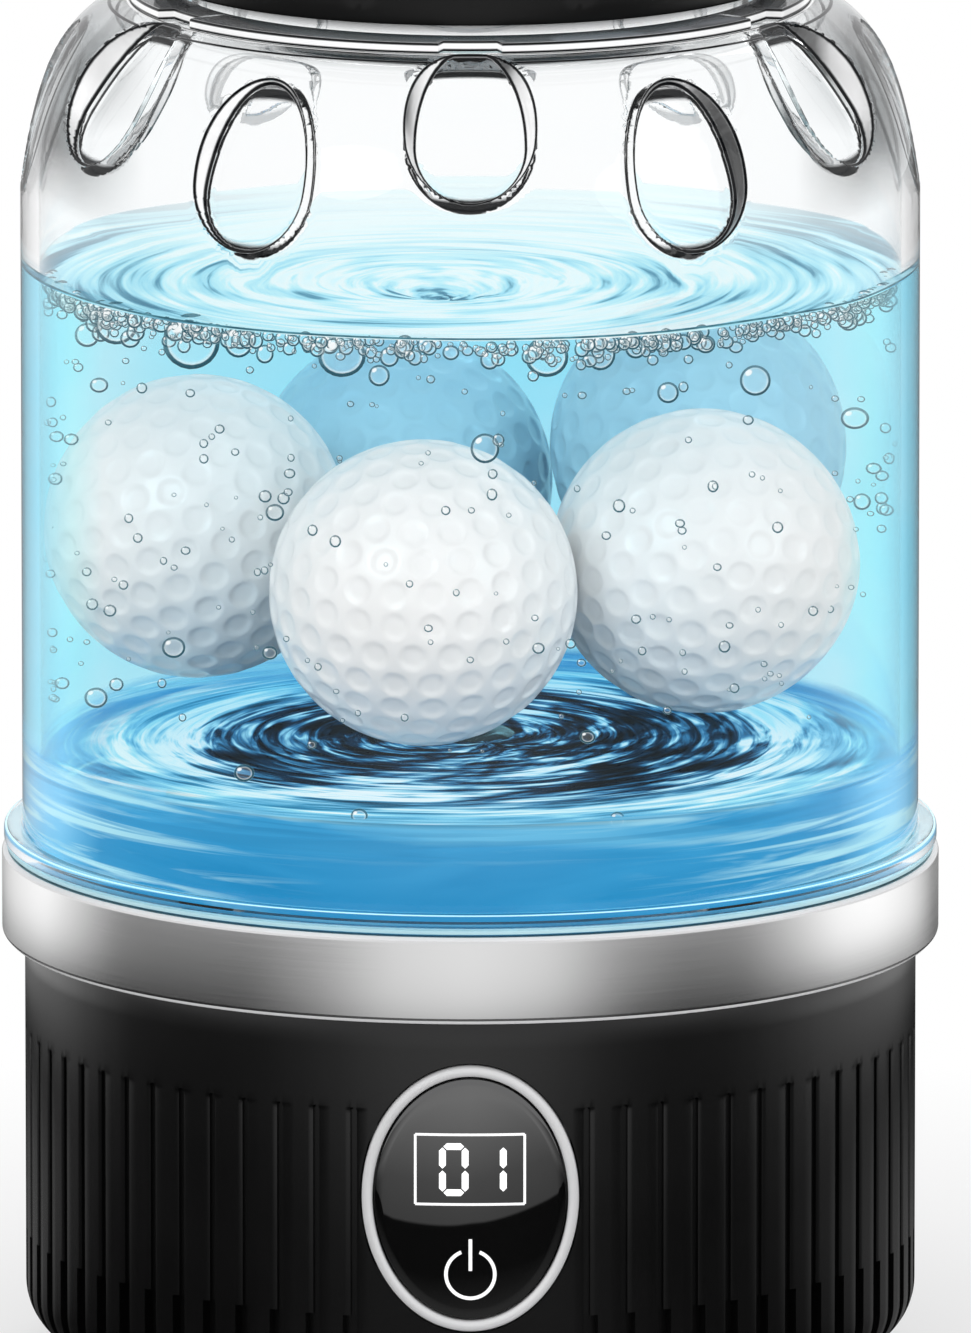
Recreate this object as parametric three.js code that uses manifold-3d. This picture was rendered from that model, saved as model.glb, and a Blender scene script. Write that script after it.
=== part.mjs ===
// Golf ball washer: a clear jar on a motor base, whose impeller swirls water round the balls.
// Millimetres, +Z up. The control panel faces -Y, and z = 0 is the underside of the feet.
import * as THREE from "three";
import { mergeVertices } from "three/addons/utils/BufferGeometryUtils.js";
import Module from "manifold-3d";

const wasm = await Module();
wasm.setup();

// Fits
const fit_gap = 0.3; // between two pieces that touch
const turn_gap = 0.5; // between coupling jaws, and round pieces that drop into a pocket
const overrun = 2; // how far a cutter passes the face that it opens
const weld_distance = 1e-4; // corners closer than this are one corner

// Facets round the turned pieces
const ring_sides = 48;
const lid_sides = 36;
const impeller_sides = 28;
const hidden_sides = 24;
const small_sides = 14;
const pin_sides = 10;

// Feet and bottom cover
const foot_height = 2;
const foot_sink = 0.8;
const foot_radius = 7;
const foot_inset = 9.7; // from the cover's edge to a foot's middle
const foot_count = 4;
const cover_thickness = 2.3;
const cover_inset = 11.1; // from the housing's side to the cover's edge
const cover_ledge_width = 3;
const cover_ledge_height = 2;

// Housing
const housing_radius = 62.8;
const housing_height = 58;
const housing_wall = 2.5;
const housing_corner = 8;
const housing_corner_steps = 3;
const housing_inner_chamfer = 2.8;
const groove_places = 72;
const groove_free_places = 2; // places left smooth each side of the panel and of the inlet
const groove_width = 0.9;
const groove_depth = 0.6;
const groove_top_drop = 12.7;
const slot_height = 15.6;
const slot_width = 2;
const slot_depth = 1.6;
const post_radius = 4.5;
const post_inset = 8.3; // from the housing's inside to a post's middle
const post_web = 2.5;
const post_first_degrees = 30;
const post_step_degrees = 60;
const post_length_above = 6;

// Control panel
const panel_width = 30.2;
const panel_height = 37.7;
const panel_drop = 25.2; // from the housing's top rim to the panel's centre
const panel_sides = 28;
const bezel_width = 1.5;
const bezel_proud = 0.8;
const lens_proud = 0.4;
const panel_seat_depth = 1.6;
const panel_seat_width = 2.2;
const display_board_width = 30;
const display_board_height = 34;
const display_board_thickness = 1.6;
const display_board_setback = 4.5;
const display_width = 16;
const display_height = 11;
const display_depth = 4;
const display_rise = 4.2; // from the panel's centre up to the digits' centre
const touch_radius = 4;
const touch_length = 4.4;
const touch_drop = 10.7; // from the panel's centre down to the power sign
const rail_width = 3;
const rail_length = 24;
const rail_inset = 0.6;

// Metal ring and deck
const ring_overhang = 3.2; // past the housing's side
const ring_height = 12.4;
const ring_wall = 1.4;
const ring_top_reach = 3.8;
const ring_top_thickness = 1.2;
const ring_foot_bevel = 0.7;
const ring_bevel = 0.6;
const deck_thickness = 2.5;
const deck_spigot_depth = 3;
const deck_spigot_wall = 1.8;
const lug_pocket_depth = 4.5;
const lug_pocket_wall = 1.6;

// Cup that hangs through the deck and holds the coupling
const well_radius = 14;
const well_wall = 2;
const well_floor = 2.5;
const cup_flange_width = 4;
const cup_flange_thickness = 2;
const upper_boss_length = 4;
const upper_boss_radius = 9;

// Jar
const gasket_thickness = 0.6;
const gasket_width = 2.6;
const flange_setback = 0.3; // inside the metal ring's side
const flange_thickness = 1.9;
const flange_width = 2.6;
const jar_wall = 2.6;
const jar_straight_height = 92;
const dome_height = 27.9;
const dome_reach = 16.3; // how far the dome draws in
const dome_steps = 6;
const dome_inner_steps = 4;
const collar_step = 1; // out from the dome's top
const collar_height = 1.5;
const collar_width = 6.8;
const neck_wall = 2.5;
const neck_height = 21.2;
const jar_sides = 48;
const floor_rebate = 0.9; // how far the floor's seat is wider than the jar's inside
const floor_lift = 0.4;
const floor_thickness = 2.5;

// Egg-shaped recesses round the shoulder
const egg_count = 12;
const egg_floor_width = 15.4;
const egg_floor_length = 23.8;
const egg_depth = 0.6; // of the flat floor below the chord of the dome
const egg_wall = 2.2;
const egg_height = 7;
const egg_draft = 0.74; // how far the recess widens per unit of its height
const egg_points = 14;
const egg_inner_points = 8;
const egg_wide_share = 0.36; // where the egg is widest, from its round end
const egg_bottom_shares = [0.344, 0.054]; // of the dome's height, high and low recesses
const egg_top_shares = [0.993, 0.887];

// Jar floor, its hub and its lugs
const hub_radius = 10;
const hub_drop = 6;
const bush_wall = 2.7;
const bush_shoulder = 1;
const bush_shoulder_width = 1.8;
const hub_seal_wall = 3.2;
const hub_seal_height = 2.3;
const lug_count = 4;
const lug_width = 8;
const lug_depth = 4.5;
const lug_length = 6.5;
const lug_inset = 11.1; // from the floor's edge to a lug's middle

// Impeller
const impeller_margin = 17.5; // from the jar's inside to the impeller's rim
const impeller_rise = 1.6; // over the jar's floor
const impeller_rim = 1.6;
const impeller_cone = 3.4;
const impeller_hub_radius = 8.5;
const impeller_hub_height = 11;
const impeller_dome_share = 0.55;
const impeller_roof = 1.8;
const vane_count = 6;
const vane_thickness = 2.2;
const vane_rim_height = 3.6;
const vane_hub_height = 7.4;
const vane_inset = 1.2;
const vane_sweep_degrees = 46;
const vane_steps = 4;

// Drive train
const shaft_radius = 3;
const dog_radius = 9;
const dog_disc = 3;
const jaw_length = 4;
const jaw_count = 3;
const jaw_inner_radius = 4.4;
const jaw_clearance_degrees = 7;
const jaw_steps = 3;
const shaft_seal_height = 1.8;
const shaft_seal_width = 4;
const gear_module = 1.2;
const gear_teeth = 30;
const pinion_teeth = 10;
const gear_backlash = 0.36;
const gear_root_clearance = 0.25;
const gear_thickness = 6;
const gear_hub_radius = 8;
const gear_hub_height = 1;
const gear_web_thickness = 2.6;
const gear_rim = 3;
const pressure_angle_degrees = 20;
const plate_thickness = 3;
const plate_boss_radius = 8.6;
const plate_boss_length = 4;
const plate_arm_width = 11;
const plate_spine_width = 22;
const plate_end_steps = 6;
const column_radius = 3.5;
const column_side_reach = 25;
const column_side_setback = 4;
const column_back_reach = 36;
const motor_radius = 13.8;
const motor_lift = 3.1; // of the can over the bottom cover
const motor_bevel = 1.2;
const motor_tail_radius = 5;
const motor_tail_length = 1.8;
const motor_flat_share = 0.86; // the flats on the can, as a share of its radius
const motor_shaft_radius = 1.5;
const motor_shaft_overhang = 0.8;
const pinion_thickness = 5;

// Batteries and their cradle
const cell_radius = 9.2;
const cell_length = 65;
const cell_button_radius = 3.2;
const cell_button_height = 1;
const cradle_wall = 1.8;
const cradle_floor = 1.5;
const cradle_width = 19;
const cradle_margin = 3.14; // from the housing's inside to the cradle's corners
const cradle_rise_share = 0.82; // of the stack of two cells

// Main board, inlet and its flap
const board_width = 32;
const board_depth = 15;
const board_thickness = 1.6;
const board_edge_setback = 4; // from the housing's inside to the board's edge
const board_post_radius = 2.6;
const board_post_spread = 8;
const board_post_inset = 3.4;
const inlet_width = 9;
const inlet_height = 3.2;
const inlet_length = 7.4;
const inlet_shell = 0.35;
const inlet_tongue = 0.7;
const inlet_bore_depth = 6;
const inlet_wall_gap = 0.4;
const inlet_level = 15.5; // of the inlet's middle over the housing's underside
const flap_width = 15.4;
const flap_height = 10.4;
const flap_thickness = 1.1;
const flap_plug_length = 1.1;
const flap_plug_inset = 0.5;

// Lid
const lid_overhang = 3.7; // past the neck's side
const lid_wall = 2.2;
const lid_gap = 1.9; // from the collar up to the lid's rim
const lid_top_thickness = 2.4;
const lid_bevel = 1.6;
const lid_flutes = 18;
const lid_flute_radius = 1.5;
const lid_flute_depth = 0.7;
const lid_band = 3.2; // smooth band under the flutes
const lid_flute_sides = 6;
const liner_thickness = 1.6;
const liner_lip = 1.2;
const liner_lip_width = 1.4;

// Heights, from the feet up
const housing_bottom = foot_height;
const housing_top = housing_bottom + housing_height;
const cover_top = housing_bottom + cover_thickness;
const ledge_bottom = cover_top + fit_gap;
const ledge_top = ledge_bottom + cover_ledge_height;
const ring_bottom = housing_top;
const ring_top = ring_bottom + ring_height;
const deck_top = ring_top - ring_top_thickness - fit_gap;
const deck_bottom = deck_top - deck_thickness;
const gasket_bottom = ring_top + fit_gap;
const jar_bottom = gasket_bottom + gasket_thickness + fit_gap;
const flange_top = jar_bottom + flange_thickness;
const dome_bottom = jar_bottom + jar_straight_height;
const dome_top = dome_bottom + dome_height;
const collar_top = dome_top + collar_height;
const neck_top = collar_top + neck_height;
const floor_bottom = jar_bottom + floor_lift;
const floor_top = floor_bottom + floor_thickness;
const hub_bottom = floor_bottom - hub_drop;
const driven_top = hub_bottom - fit_gap;
const driven_bottom = driven_top - dog_disc;
const drive_top = driven_bottom - turn_gap - jaw_length;
const drive_bottom = drive_top - dog_disc;
const well_bottom = drive_bottom - fit_gap - shaft_seal_height - fit_gap;
const well_underside = well_bottom - well_floor;
const boss_bottom = well_underside - upper_boss_length;
const gear_hub_top = boss_bottom - fit_gap;
const gear_top = gear_hub_top - gear_hub_height;
const gear_bottom = gear_top - gear_thickness;
const plate_top = gear_bottom - fit_gap;
const plate_bottom = plate_top - plate_thickness;
const plate_boss_bottom = plate_bottom - plate_boss_length;
const motor_top = plate_bottom - fit_gap;
const motor_bottom = cover_top + motor_lift;
const impeller_bottom = floor_top + impeller_rise;
const impeller_top = impeller_bottom + impeller_hub_height;
const liner_bottom = neck_top + fit_gap;
const liner_top = liner_bottom + liner_thickness;
const lid_bottom = collar_top + lid_gap;
const lid_ceiling = liner_top + fit_gap;
const lid_top = lid_ceiling + lid_top_thickness;
const panel_level = housing_top - panel_drop;
const inlet_middle = housing_bottom + inlet_level;

// Radii that follow from others
const housing_inner = housing_radius - housing_wall;
const facet_share = Math.cos(Math.PI / groove_places);
const cover_radius = housing_radius - cover_inset;
const foot_reach = cover_radius - foot_inset;
const post_reach = housing_inner - post_inset;
const ring_radius = housing_radius + ring_overhang;
const deck_radius = ring_radius - ring_wall - fit_gap;
const flange_radius = ring_radius - flange_setback;
const jar_radius = flange_radius - flange_width;
const jar_inner = jar_radius - jar_wall;
const dome_top_radius = jar_radius - dome_reach;
const collar_radius = dome_top_radius + collar_step;
const neck_radius = collar_radius - collar_width;
const neck_inner = neck_radius - neck_wall;
const lid_radius = neck_radius + lid_overhang;
const floor_seat_radius = jar_inner + floor_rebate;
const floor_radius = floor_seat_radius - fit_gap;
const lug_reach = floor_radius - lug_inset;
const impeller_radius = jar_inner - impeller_margin;
const running_radius = shaft_radius + fit_gap;
const bush_radius = running_radius + bush_wall;
const bush_seat_radius = bush_radius + fit_gap;
const shoulder_radius = bush_seat_radius - bush_shoulder_width;
const hub_seal_radius = running_radius + hub_seal_wall;
const gear_radius = (gear_module * gear_teeth) / 2;
const pinion_radius = (gear_module * pinion_teeth) / 2;
const centre_distance = gear_radius + pinion_radius;
const cell_setback = (() => {
  const half_cradle = cell_length / 2 + fit_gap + cradle_wall;
  return Math.sqrt((housing_inner - cradle_margin) ** 2 - half_cradle ** 2) - cradle_width / 2;
})();
const whole_turn = 2 * Math.PI;

// A closed geometry as a solid whose faces point out.
function solid(geometry) {
  geometry.deleteAttribute("normal");
  geometry.deleteAttribute("uv");
  const welded = mergeVertices(geometry, weld_distance);
  const corners = welded.index.array;
  const faces = [];
  for (let i = 0; i < corners.length; i += 3) {
    const [a, b, c] = corners.slice(i, i + 3);
    if (a !== b && b !== c && c !== a) faces.push([a, b, c]);
  }
  const build = (list) =>
    new wasm.Manifold(
      new wasm.Mesh({
        numProp: 3,
        vertProperties: welded.attributes.position.array,
        triVerts: Uint32Array.from(list.flat()),
      }),
    );
  const made = build(faces);
  return made.volume() < 0 ? build(faces.map(([a, b, c]) => [a, c, b])) : made;
}

// A solid of revolution about Z from a closed outline of [radius, height] points.
function revolve(outline, sides, start = 0) {
  const profile = [...outline, outline[0]].map(([r, z]) => new THREE.Vector2(r, z));
  const geometry = new THREE.LatheGeometry(profile, sides, start);
  return solid(geometry.rotateX(Math.PI / 2));
}

// A round bar or, with an inner radius, a tube about Z.
function tube(outer, inner, bottom, top, sides) {
  const outline = [
    [inner, bottom],
    [outer, bottom],
    [outer, top],
    [inner, top],
  ];
  return revolve(outline, sides);
}

// An outline as a flat plate between two heights, moved to a place.
function plate(shape, bottom, top, x = 0, y = 0) {
  const geometry = new THREE.ExtrudeGeometry(shape, { depth: top - bottom, bevelEnabled: false });
  return solid(geometry.translate(x, y, bottom));
}

// An outline drawn in X and Z, extruded towards the front from y = -near to y = -far.
function front_geometry(shape, near, far) {
  const geometry = new THREE.ExtrudeGeometry(shape, { depth: far - near, bevelEnabled: false });
  return geometry.translate(0, 0, near).rotateX(Math.PI / 2);
}

// A block between two corners.
function block([x0, y0, z0], [x1, y1, z1]) {
  const geometry = new THREE.BoxGeometry(x1 - x0, y1 - y0, z1 - z0);
  return solid(geometry.translate((x0 + x1) / 2, (y0 + y1) / 2, (z0 + z1) / 2));
}

// A disc outline of a given number of sides.
function disc_shape(radius, sides) {
  const points = [];
  for (let i = 0; i < sides; i++) {
    const angle = (i / sides) * whole_turn;
    points.push(new THREE.Vector2(radius * Math.cos(angle), radius * Math.sin(angle)));
  }
  return new THREE.Shape(points);
}

// An oval outline about a point, in X and Z.
function oval_shape(width, height, level) {
  const points = [];
  for (let i = 0; i < panel_sides; i++) {
    const angle = (i / panel_sides) * whole_turn;
    points.push(new THREE.Vector2((width / 2) * Math.cos(angle), level + (height / 2) * Math.sin(angle)));
  }
  return new THREE.Shape(points);
}

// A bar with round ends between two points, as an outline in X and Y.
function bar_shape([x0, y0], [x1, y1], width, end_steps) {
  const lean = Math.atan2(y1 - y0, x1 - x0);
  const points = [];
  for (const [x, y, turn] of [[x1, y1, -Math.PI / 2], [x0, y0, Math.PI / 2]]) {
    for (let i = 0; i <= end_steps; i++) {
      const angle = lean + turn + (i / end_steps) * Math.PI;
      points.push(new THREE.Vector2(x + (width / 2) * Math.cos(angle), y + (width / 2) * Math.sin(angle)));
    }
  }
  return new THREE.Shape(points);
}

const join = (solids) => solids.reduce((whole, next) => whole.add(next));
const radians = THREE.MathUtils.degToRad;

// The point at a radius and an angle from the front, counted towards +X.
const place = (radius, angle) => [radius * Math.sin(angle), -radius * Math.cos(angle)];

// Materials
function finish(color, roughness, metalness, opacity = 1) {
  return new THREE.MeshStandardMaterial({ color, roughness, metalness, opacity, transparent: opacity < 1 });
}

// A solid as a named mesh.
function piece(name, form, material) {
  const { vertProperties, triVerts } = form.getMesh();
  const geometry = new THREE.BufferGeometry();
  geometry.setAttribute("position", new THREE.BufferAttribute(vertProperties, 3));
  geometry.setIndex(new THREE.BufferAttribute(triVerts, 1));
  geometry.computeVertexNormals();
  const mesh = new THREE.Mesh(geometry, material);
  mesh.name = name;
  return mesh;
}

// Housing
function housing_body() {
  const outline = [[0, housing_bottom]];
  for (let i = 0; i <= housing_corner_steps; i++) {
    const angle = (i / housing_corner_steps) * (Math.PI / 2);
    outline.push([
      housing_radius - housing_corner + housing_corner * Math.sin(angle),
      housing_bottom + housing_corner - housing_corner * Math.cos(angle),
    ]);
  }
  outline.push([housing_radius, housing_top], [0, housing_top]);
  return revolve(outline, groove_places, Math.PI / groove_places);
}

function housing_hollow() {
  const opening = cover_radius + fit_gap;
  const ledge = opening - cover_ledge_width;
  const outline = [
    [0, housing_bottom - overrun],
    [opening, housing_bottom - overrun],
    [opening, ledge_bottom],
    [ledge, ledge_bottom],
    [ledge, ledge_top],
    [housing_inner - housing_inner_chamfer, ledge_top],
    [housing_inner, ledge_top + housing_inner_chamfer],
    [housing_inner, housing_top + overrun],
    [0, housing_top + overrun],
  ];
  return revolve(outline, hidden_sides);
}

// One groove of the housing's side, with its pointed top, cut from the front.
function groove_cutter(angle) {
  const top = housing_top - groove_top_drop;
  const half = groove_width / 2;
  const shape = new THREE.Shape();
  shape.moveTo(-half, housing_bottom + slot_height - groove_depth);
  shape.lineTo(half, housing_bottom + slot_height - groove_depth);
  shape.lineTo(half, top - half);
  shape.lineTo(0, top);
  shape.lineTo(-half, top - half);
  const facet = housing_radius * facet_share;
  return solid(front_geometry(shape, facet - groove_depth, facet + overrun).rotateZ(angle));
}

// The deeper slot that carries the groove on down, out through the bottom corner.
function slot_cutter(angle) {
  const facet = housing_radius * facet_share;
  const far = facet + overrun;
  const near = facet - slot_depth;
  const low = housing_bottom - overrun;
  const high = housing_bottom + slot_height;
  const geometry = new THREE.BoxGeometry(slot_width, far - near, high - low);
  const side = Math.sign(angle) * (slot_width - groove_width) / 2;
  return solid(geometry.translate(side, -(near + far) / 2, (low + high) / 2).rotateZ(angle));
}

function rib_cutters() {
  const cutters = [];
  const half = groove_places / 2;
  for (let i = groove_free_places + 1; i < half - groove_free_places; i++) {
    for (const angle of [(i / half) * Math.PI, (-i / half) * Math.PI]) {
      cutters.push(groove_cutter(angle), slot_cutter(angle));
    }
  }
  return join(cutters);
}

// A cylinder with the housing's own facets, for pieces that follow its outer face.
function housing_core(radius) {
  const outline = [
    [0, 0],
    [radius, 0],
    [radius, housing_top],
    [0, housing_top],
  ];
  return revolve(outline, groove_places, Math.PI / groove_places);
}

function oval_prism(width, height) {
  return solid(front_geometry(oval_shape(width, height, panel_level), 0, housing_radius + overrun));
}

function panel_seat() {
  const seat = oval_prism(panel_width + 2 * fit_gap, panel_height + 2 * fit_gap);
  const shrink = 2 * (bezel_width + panel_seat_width);
  const window = oval_prism(panel_width - shrink, panel_height - shrink);
  return seat.subtract(housing_core(housing_radius - panel_seat_depth)).add(window);
}

function inlet_window() {
  const wide = inlet_width / 2 + fit_gap;
  const high = inlet_height / 2 + fit_gap;
  const hole = block(
    [-wide, housing_inner / 2, inlet_middle - high],
    [wide, housing_radius + overrun, inlet_middle + high],
  );
  const flap_wide = flap_width / 2 + fit_gap;
  const flap_high = flap_height / 2 + fit_gap;
  const recess = block(
    [-flap_wide, housing_radius - flap_thickness - fit_gap, inlet_middle - flap_high],
    [flap_wide, housing_radius + overrun, inlet_middle + flap_high],
  );
  return hole.add(recess);
}

function post_angles() {
  const first = radians(90 - post_first_degrees);
  const second = first + radians(post_step_degrees);
  return [first, second, -first, -second];
}

// A screw post with the web that ties it to the housing's wall.
function housing_post(angle) {
  const bottom = ledge_top - cover_ledge_height / 2;
  const top = housing_top - post_length_above;
  const [x, y] = place(post_reach, angle);
  const post = plate(disc_shape(post_radius, pin_sides), bottom, top, x, y);
  const web = new THREE.BoxGeometry(post_web, housing_inner + housing_wall / 2 - post_reach, top - bottom);
  web.translate(0, -(post_reach + housing_inner + housing_wall / 2) / 2, (bottom + top) / 2);
  return post.add(solid(web.rotateZ(angle)));
}

// The two upright rails that carry the display board.
function display_rails() {
  const outer = display_board_width / 2 - rail_inset;
  const near = -(display_board_front() + fit_gap);
  const far = -Math.sqrt((housing_inner + housing_wall / 2) ** 2 - outer ** 2);
  const low = panel_level - rail_length / 2;
  const high = panel_level + rail_length / 2;
  return [
    block([outer - rail_width, far, low], [outer, near, high]),
    block([-outer, far, low], [rail_width - outer, near, high]),
  ];
}

const display_board_front = () => housing_inner - display_board_setback;

function base_shell() {
  return join([housing_body().subtract(housing_hollow()), ...post_angles().map(housing_post)])
    .add(join(display_rails()))
    .subtract(rib_cutters())
    .subtract(panel_seat())
    .subtract(inlet_window());
}

// Bottom cover with the foot recesses and the two posts under the main board
const board_middle = () => housing_inner - board_edge_setback - board_depth / 2;

function bottom_cover() {
  const outline = [
    [0, housing_bottom],
    [cover_radius, housing_bottom],
    [cover_radius, cover_top],
    [0, cover_top],
  ];
  const recesses = foot_places().map(([x, y]) =>
    plate(disc_shape(foot_radius + fit_gap, small_sides), 0, housing_bottom + foot_sink, x, y),
  );
  const posts = [board_post_spread, -board_post_spread].map((x) =>
    plate(
      disc_shape(board_post_radius, pin_sides),
      cover_top - cover_thickness / 2,
      board_bottom() - fit_gap,
      x,
      board_middle() - board_depth / 2 + board_post_inset,
    ),
  );
  return join([revolve(outline, hidden_sides), ...posts]).subtract(join(recesses));
}

const foot_places = () =>
  Array.from({ length: foot_count }, (_, i) => place(foot_reach, ((i + 1 / 2) / foot_count) * whole_turn));

function foot() {
  const outline = [
    [0, 0],
    [foot_radius, 0],
    [foot_radius, housing_bottom + foot_sink - fit_gap],
    [0, housing_bottom + foot_sink - fit_gap],
  ];
  return revolve(outline, small_sides);
}

// Control panel
function panel_band(inner, outer) {
  return housing_core(outer).subtract(housing_core(inner));
}

function panel_bezel() {
  const ring = oval_prism(panel_width, panel_height).subtract(
    oval_prism(panel_width - 2 * bezel_width, panel_height - 2 * bezel_width),
  );
  const back = housing_radius - panel_seat_depth + fit_gap;
  return ring.intersect(panel_band(back, housing_radius + bezel_proud));
}

function panel_lens() {
  const inset = 2 * (bezel_width + fit_gap);
  const back = housing_radius - panel_seat_depth + fit_gap;
  const form = oval_prism(panel_width - inset, panel_height - inset);
  return form.intersect(panel_band(back, housing_radius + lens_proud));
}

function display_board() {
  const front = -display_board_front();
  return block(
    [-display_board_width / 2, front, panel_level - display_board_height / 2],
    [display_board_width / 2, front + display_board_thickness, panel_level + display_board_height / 2],
  );
}

function display_module() {
  const back = -display_board_front() - fit_gap;
  const level = panel_level + display_rise;
  return block(
    [-display_width / 2, back - display_depth, level - display_height / 2],
    [display_width / 2, back, level + display_height / 2],
  );
}

function touch_pad() {
  const near = display_board_front() + fit_gap;
  const shape = disc_shape(touch_radius, pin_sides);
  const geometry = front_geometry(shape, near, near + touch_length);
  return solid(geometry.translate(0, 0, panel_level - touch_drop));
}

// Metal ring
function trim_ring() {
  const wall = ring_radius - ring_wall;
  const outline = [
    [wall, ring_bottom],
    [ring_radius - ring_foot_bevel, ring_bottom],
    [ring_radius, ring_bottom + ring_foot_bevel],
    [ring_radius, ring_top - ring_bevel],
    [ring_radius - ring_bevel, ring_top],
    [ring_radius - ring_top_reach, ring_top],
    [ring_radius - ring_top_reach, ring_top - ring_top_thickness],
    [wall, ring_top - ring_top_thickness],
  ];
  return revolve(outline, ring_sides);
}

// Deck that closes the base and seats the jar
function deck_body() {
  const spigot_outer = housing_inner * Math.cos(Math.PI / hidden_sides) - fit_gap;
  const spigot_inner = spigot_outer - deck_spigot_wall;
  const skirt_bottom = housing_top + fit_gap;
  const hole = well_radius + well_wall + fit_gap;
  const outline = [
    [hole, deck_bottom],
    [hole, deck_top],
    [deck_radius, deck_top],
    [deck_radius, skirt_bottom],
    [spigot_outer, skirt_bottom],
    [spigot_outer, housing_top - deck_spigot_depth],
    [spigot_inner, housing_top - deck_spigot_depth],
    [spigot_inner, deck_bottom],
  ];
  return revolve(outline, hidden_sides);
}

// The cup hangs from its flange under the deck, with the upper bush in its floor.
function coupling_cup() {
  const outer = well_radius + well_wall;
  const flange_top_level = deck_bottom - fit_gap;
  const outline = [
    [shoulder_radius, well_bottom],
    [well_radius, well_bottom],
    [well_radius, deck_top],
    [outer, deck_top],
    [outer, flange_top_level],
    [outer + cup_flange_width, flange_top_level],
    [outer + cup_flange_width, flange_top_level - cup_flange_thickness],
    [outer, flange_top_level - cup_flange_thickness],
    [outer, well_underside],
    [upper_boss_radius, well_underside],
    [upper_boss_radius, boss_bottom],
    [bush_seat_radius, boss_bottom],
    [bush_seat_radius, well_bottom - bush_shoulder],
    [shoulder_radius, well_bottom - bush_shoulder],
  ];
  return revolve(outline, hidden_sides);
}

// A block on the lugs' circle, widened by a gap, between two heights.
function lug_block(index, spread, bottom, top) {
  const depth = lug_depth + 2 * spread;
  const geometry = new THREE.BoxGeometry(lug_width + 2 * spread, depth, top - bottom);
  geometry.translate(0, -lug_reach, (bottom + top) / 2);
  return solid(geometry.rotateZ((index / lug_count) * whole_turn + Math.PI / lug_count));
}

const lug_list = () => Array.from({ length: lug_count }, (_, i) => i);

function top_deck() {
  const pocket_bottom = deck_top - lug_pocket_depth;
  const boxes = lug_list().map((i) =>
    lug_block(i, turn_gap + lug_pocket_wall, pocket_bottom - lug_pocket_wall, deck_top - deck_thickness / 2),
  );
  const pockets = lug_list().map((i) => lug_block(i, turn_gap, pocket_bottom, deck_top + overrun));
  const bosses = post_angles().map((angle) => {
    const [x, y] = place(post_reach, angle);
    const bottom = housing_top - post_length_above + fit_gap;
    return plate(disc_shape(post_radius, pin_sides), bottom, deck_bottom + deck_thickness / 2, x, y);
  });
  return join([deck_body(), ...boxes, ...bosses]).subtract(join(pockets));
}

// Jar
function dome_point(share) {
  const turn = Math.asin(share);
  return [dome_top_radius + dome_reach * Math.cos(turn), dome_bottom + dome_height * share];
}

function jar_outside() {
  const outline = [
    [0, jar_bottom],
    [flange_radius, jar_bottom],
    [flange_radius, flange_top],
    [jar_radius, flange_top],
  ];
  for (let i = 0; i <= dome_steps; i++) {
    const turn = (i / dome_steps) * (Math.PI / 2);
    outline.push([
      dome_top_radius + dome_reach * Math.cos(turn),
      dome_bottom + dome_height * Math.sin(turn),
    ]);
  }
  outline.push(
    [collar_radius, dome_top],
    [collar_radius, collar_top],
    [neck_radius, collar_top],
    [neck_radius, neck_top],
    [0, neck_top],
  );
  return revolve(outline, jar_sides);
}

function jar_hollow() {
  const seat_top = floor_top + fit_gap;
  const outline = [
    [0, jar_bottom - overrun],
    [floor_seat_radius, jar_bottom - overrun],
    [floor_seat_radius, seat_top],
    [jar_inner, seat_top],
  ];
  for (let i = 0; i <= dome_inner_steps; i++) {
    const turn = (i / dome_inner_steps) * (Math.PI / 2);
    outline.push([
      dome_top_radius - jar_wall + dome_reach * Math.cos(turn),
      dome_bottom + (dome_height - jar_wall) * Math.sin(turn),
    ]);
  }
  outline.push([neck_inner, dome_top - jar_wall / 2], [neck_inner, neck_top + overrun], [0, neck_top + overrun]);
  return revolve(outline, hidden_sides);
}

// An egg outline about its widest line, with the narrow end up.
function egg_shape(width, length, count) {
  const points = [];
  for (let i = 0; i < count; i++) {
    const turn = (i / count) * whole_turn;
    const rise = Math.cos(turn) > 0 ? length * (1 - egg_wide_share) : length * egg_wide_share;
    points.push(new THREE.Vector2((width / 2) * Math.sin(turn), rise * Math.cos(turn)));
  }
  return new THREE.Shape(points);
}

// A drafted egg-shaped plug whose small face lies a depth below the dome's chord.
function egg_plug(index, spread, depth, count) {
  const row = index % 2;
  const [low_r, low_z] = dome_point(egg_bottom_shares[row]);
  const [high_r, high_z] = dome_point(egg_top_shares[row]);
  const lean = Math.atan2(low_r - high_r, high_z - low_z);
  const width = egg_floor_width + 2 * spread;
  const length = egg_floor_length + 2 * spread;
  const height = egg_height + depth;
  const shape = egg_shape(width, length, count);
  const geometry = new THREE.ExtrudeGeometry(shape, { depth: height, bevelEnabled: false });
  const spots = geometry.attributes.position;
  const grow = 2 * egg_draft * height;
  for (let i = 0; i < spots.count; i++) {
    const top = spots.getZ(i) > height / 2;
    if (top) spots.setX(i, spots.getX(i) * (1 + grow / width));
    if (top) spots.setY(i, spots.getY(i) * (1 + grow / length));
  }
  // The outline's X stays level, its Y runs up the chord and its depth points out of the dome.
  geometry.translate(0, egg_floor_length * egg_wide_share, -depth);
  geometry.rotateX(Math.PI / 2 - lean);
  geometry.translate(0, -low_r, low_z);
  return solid(geometry.rotateZ((index / egg_count) * whole_turn));
}

function egg_plugs(spread, depth, count) {
  return join(Array.from({ length: egg_count }, (_, i) => egg_plug(i, spread, depth, count)));
}

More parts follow.
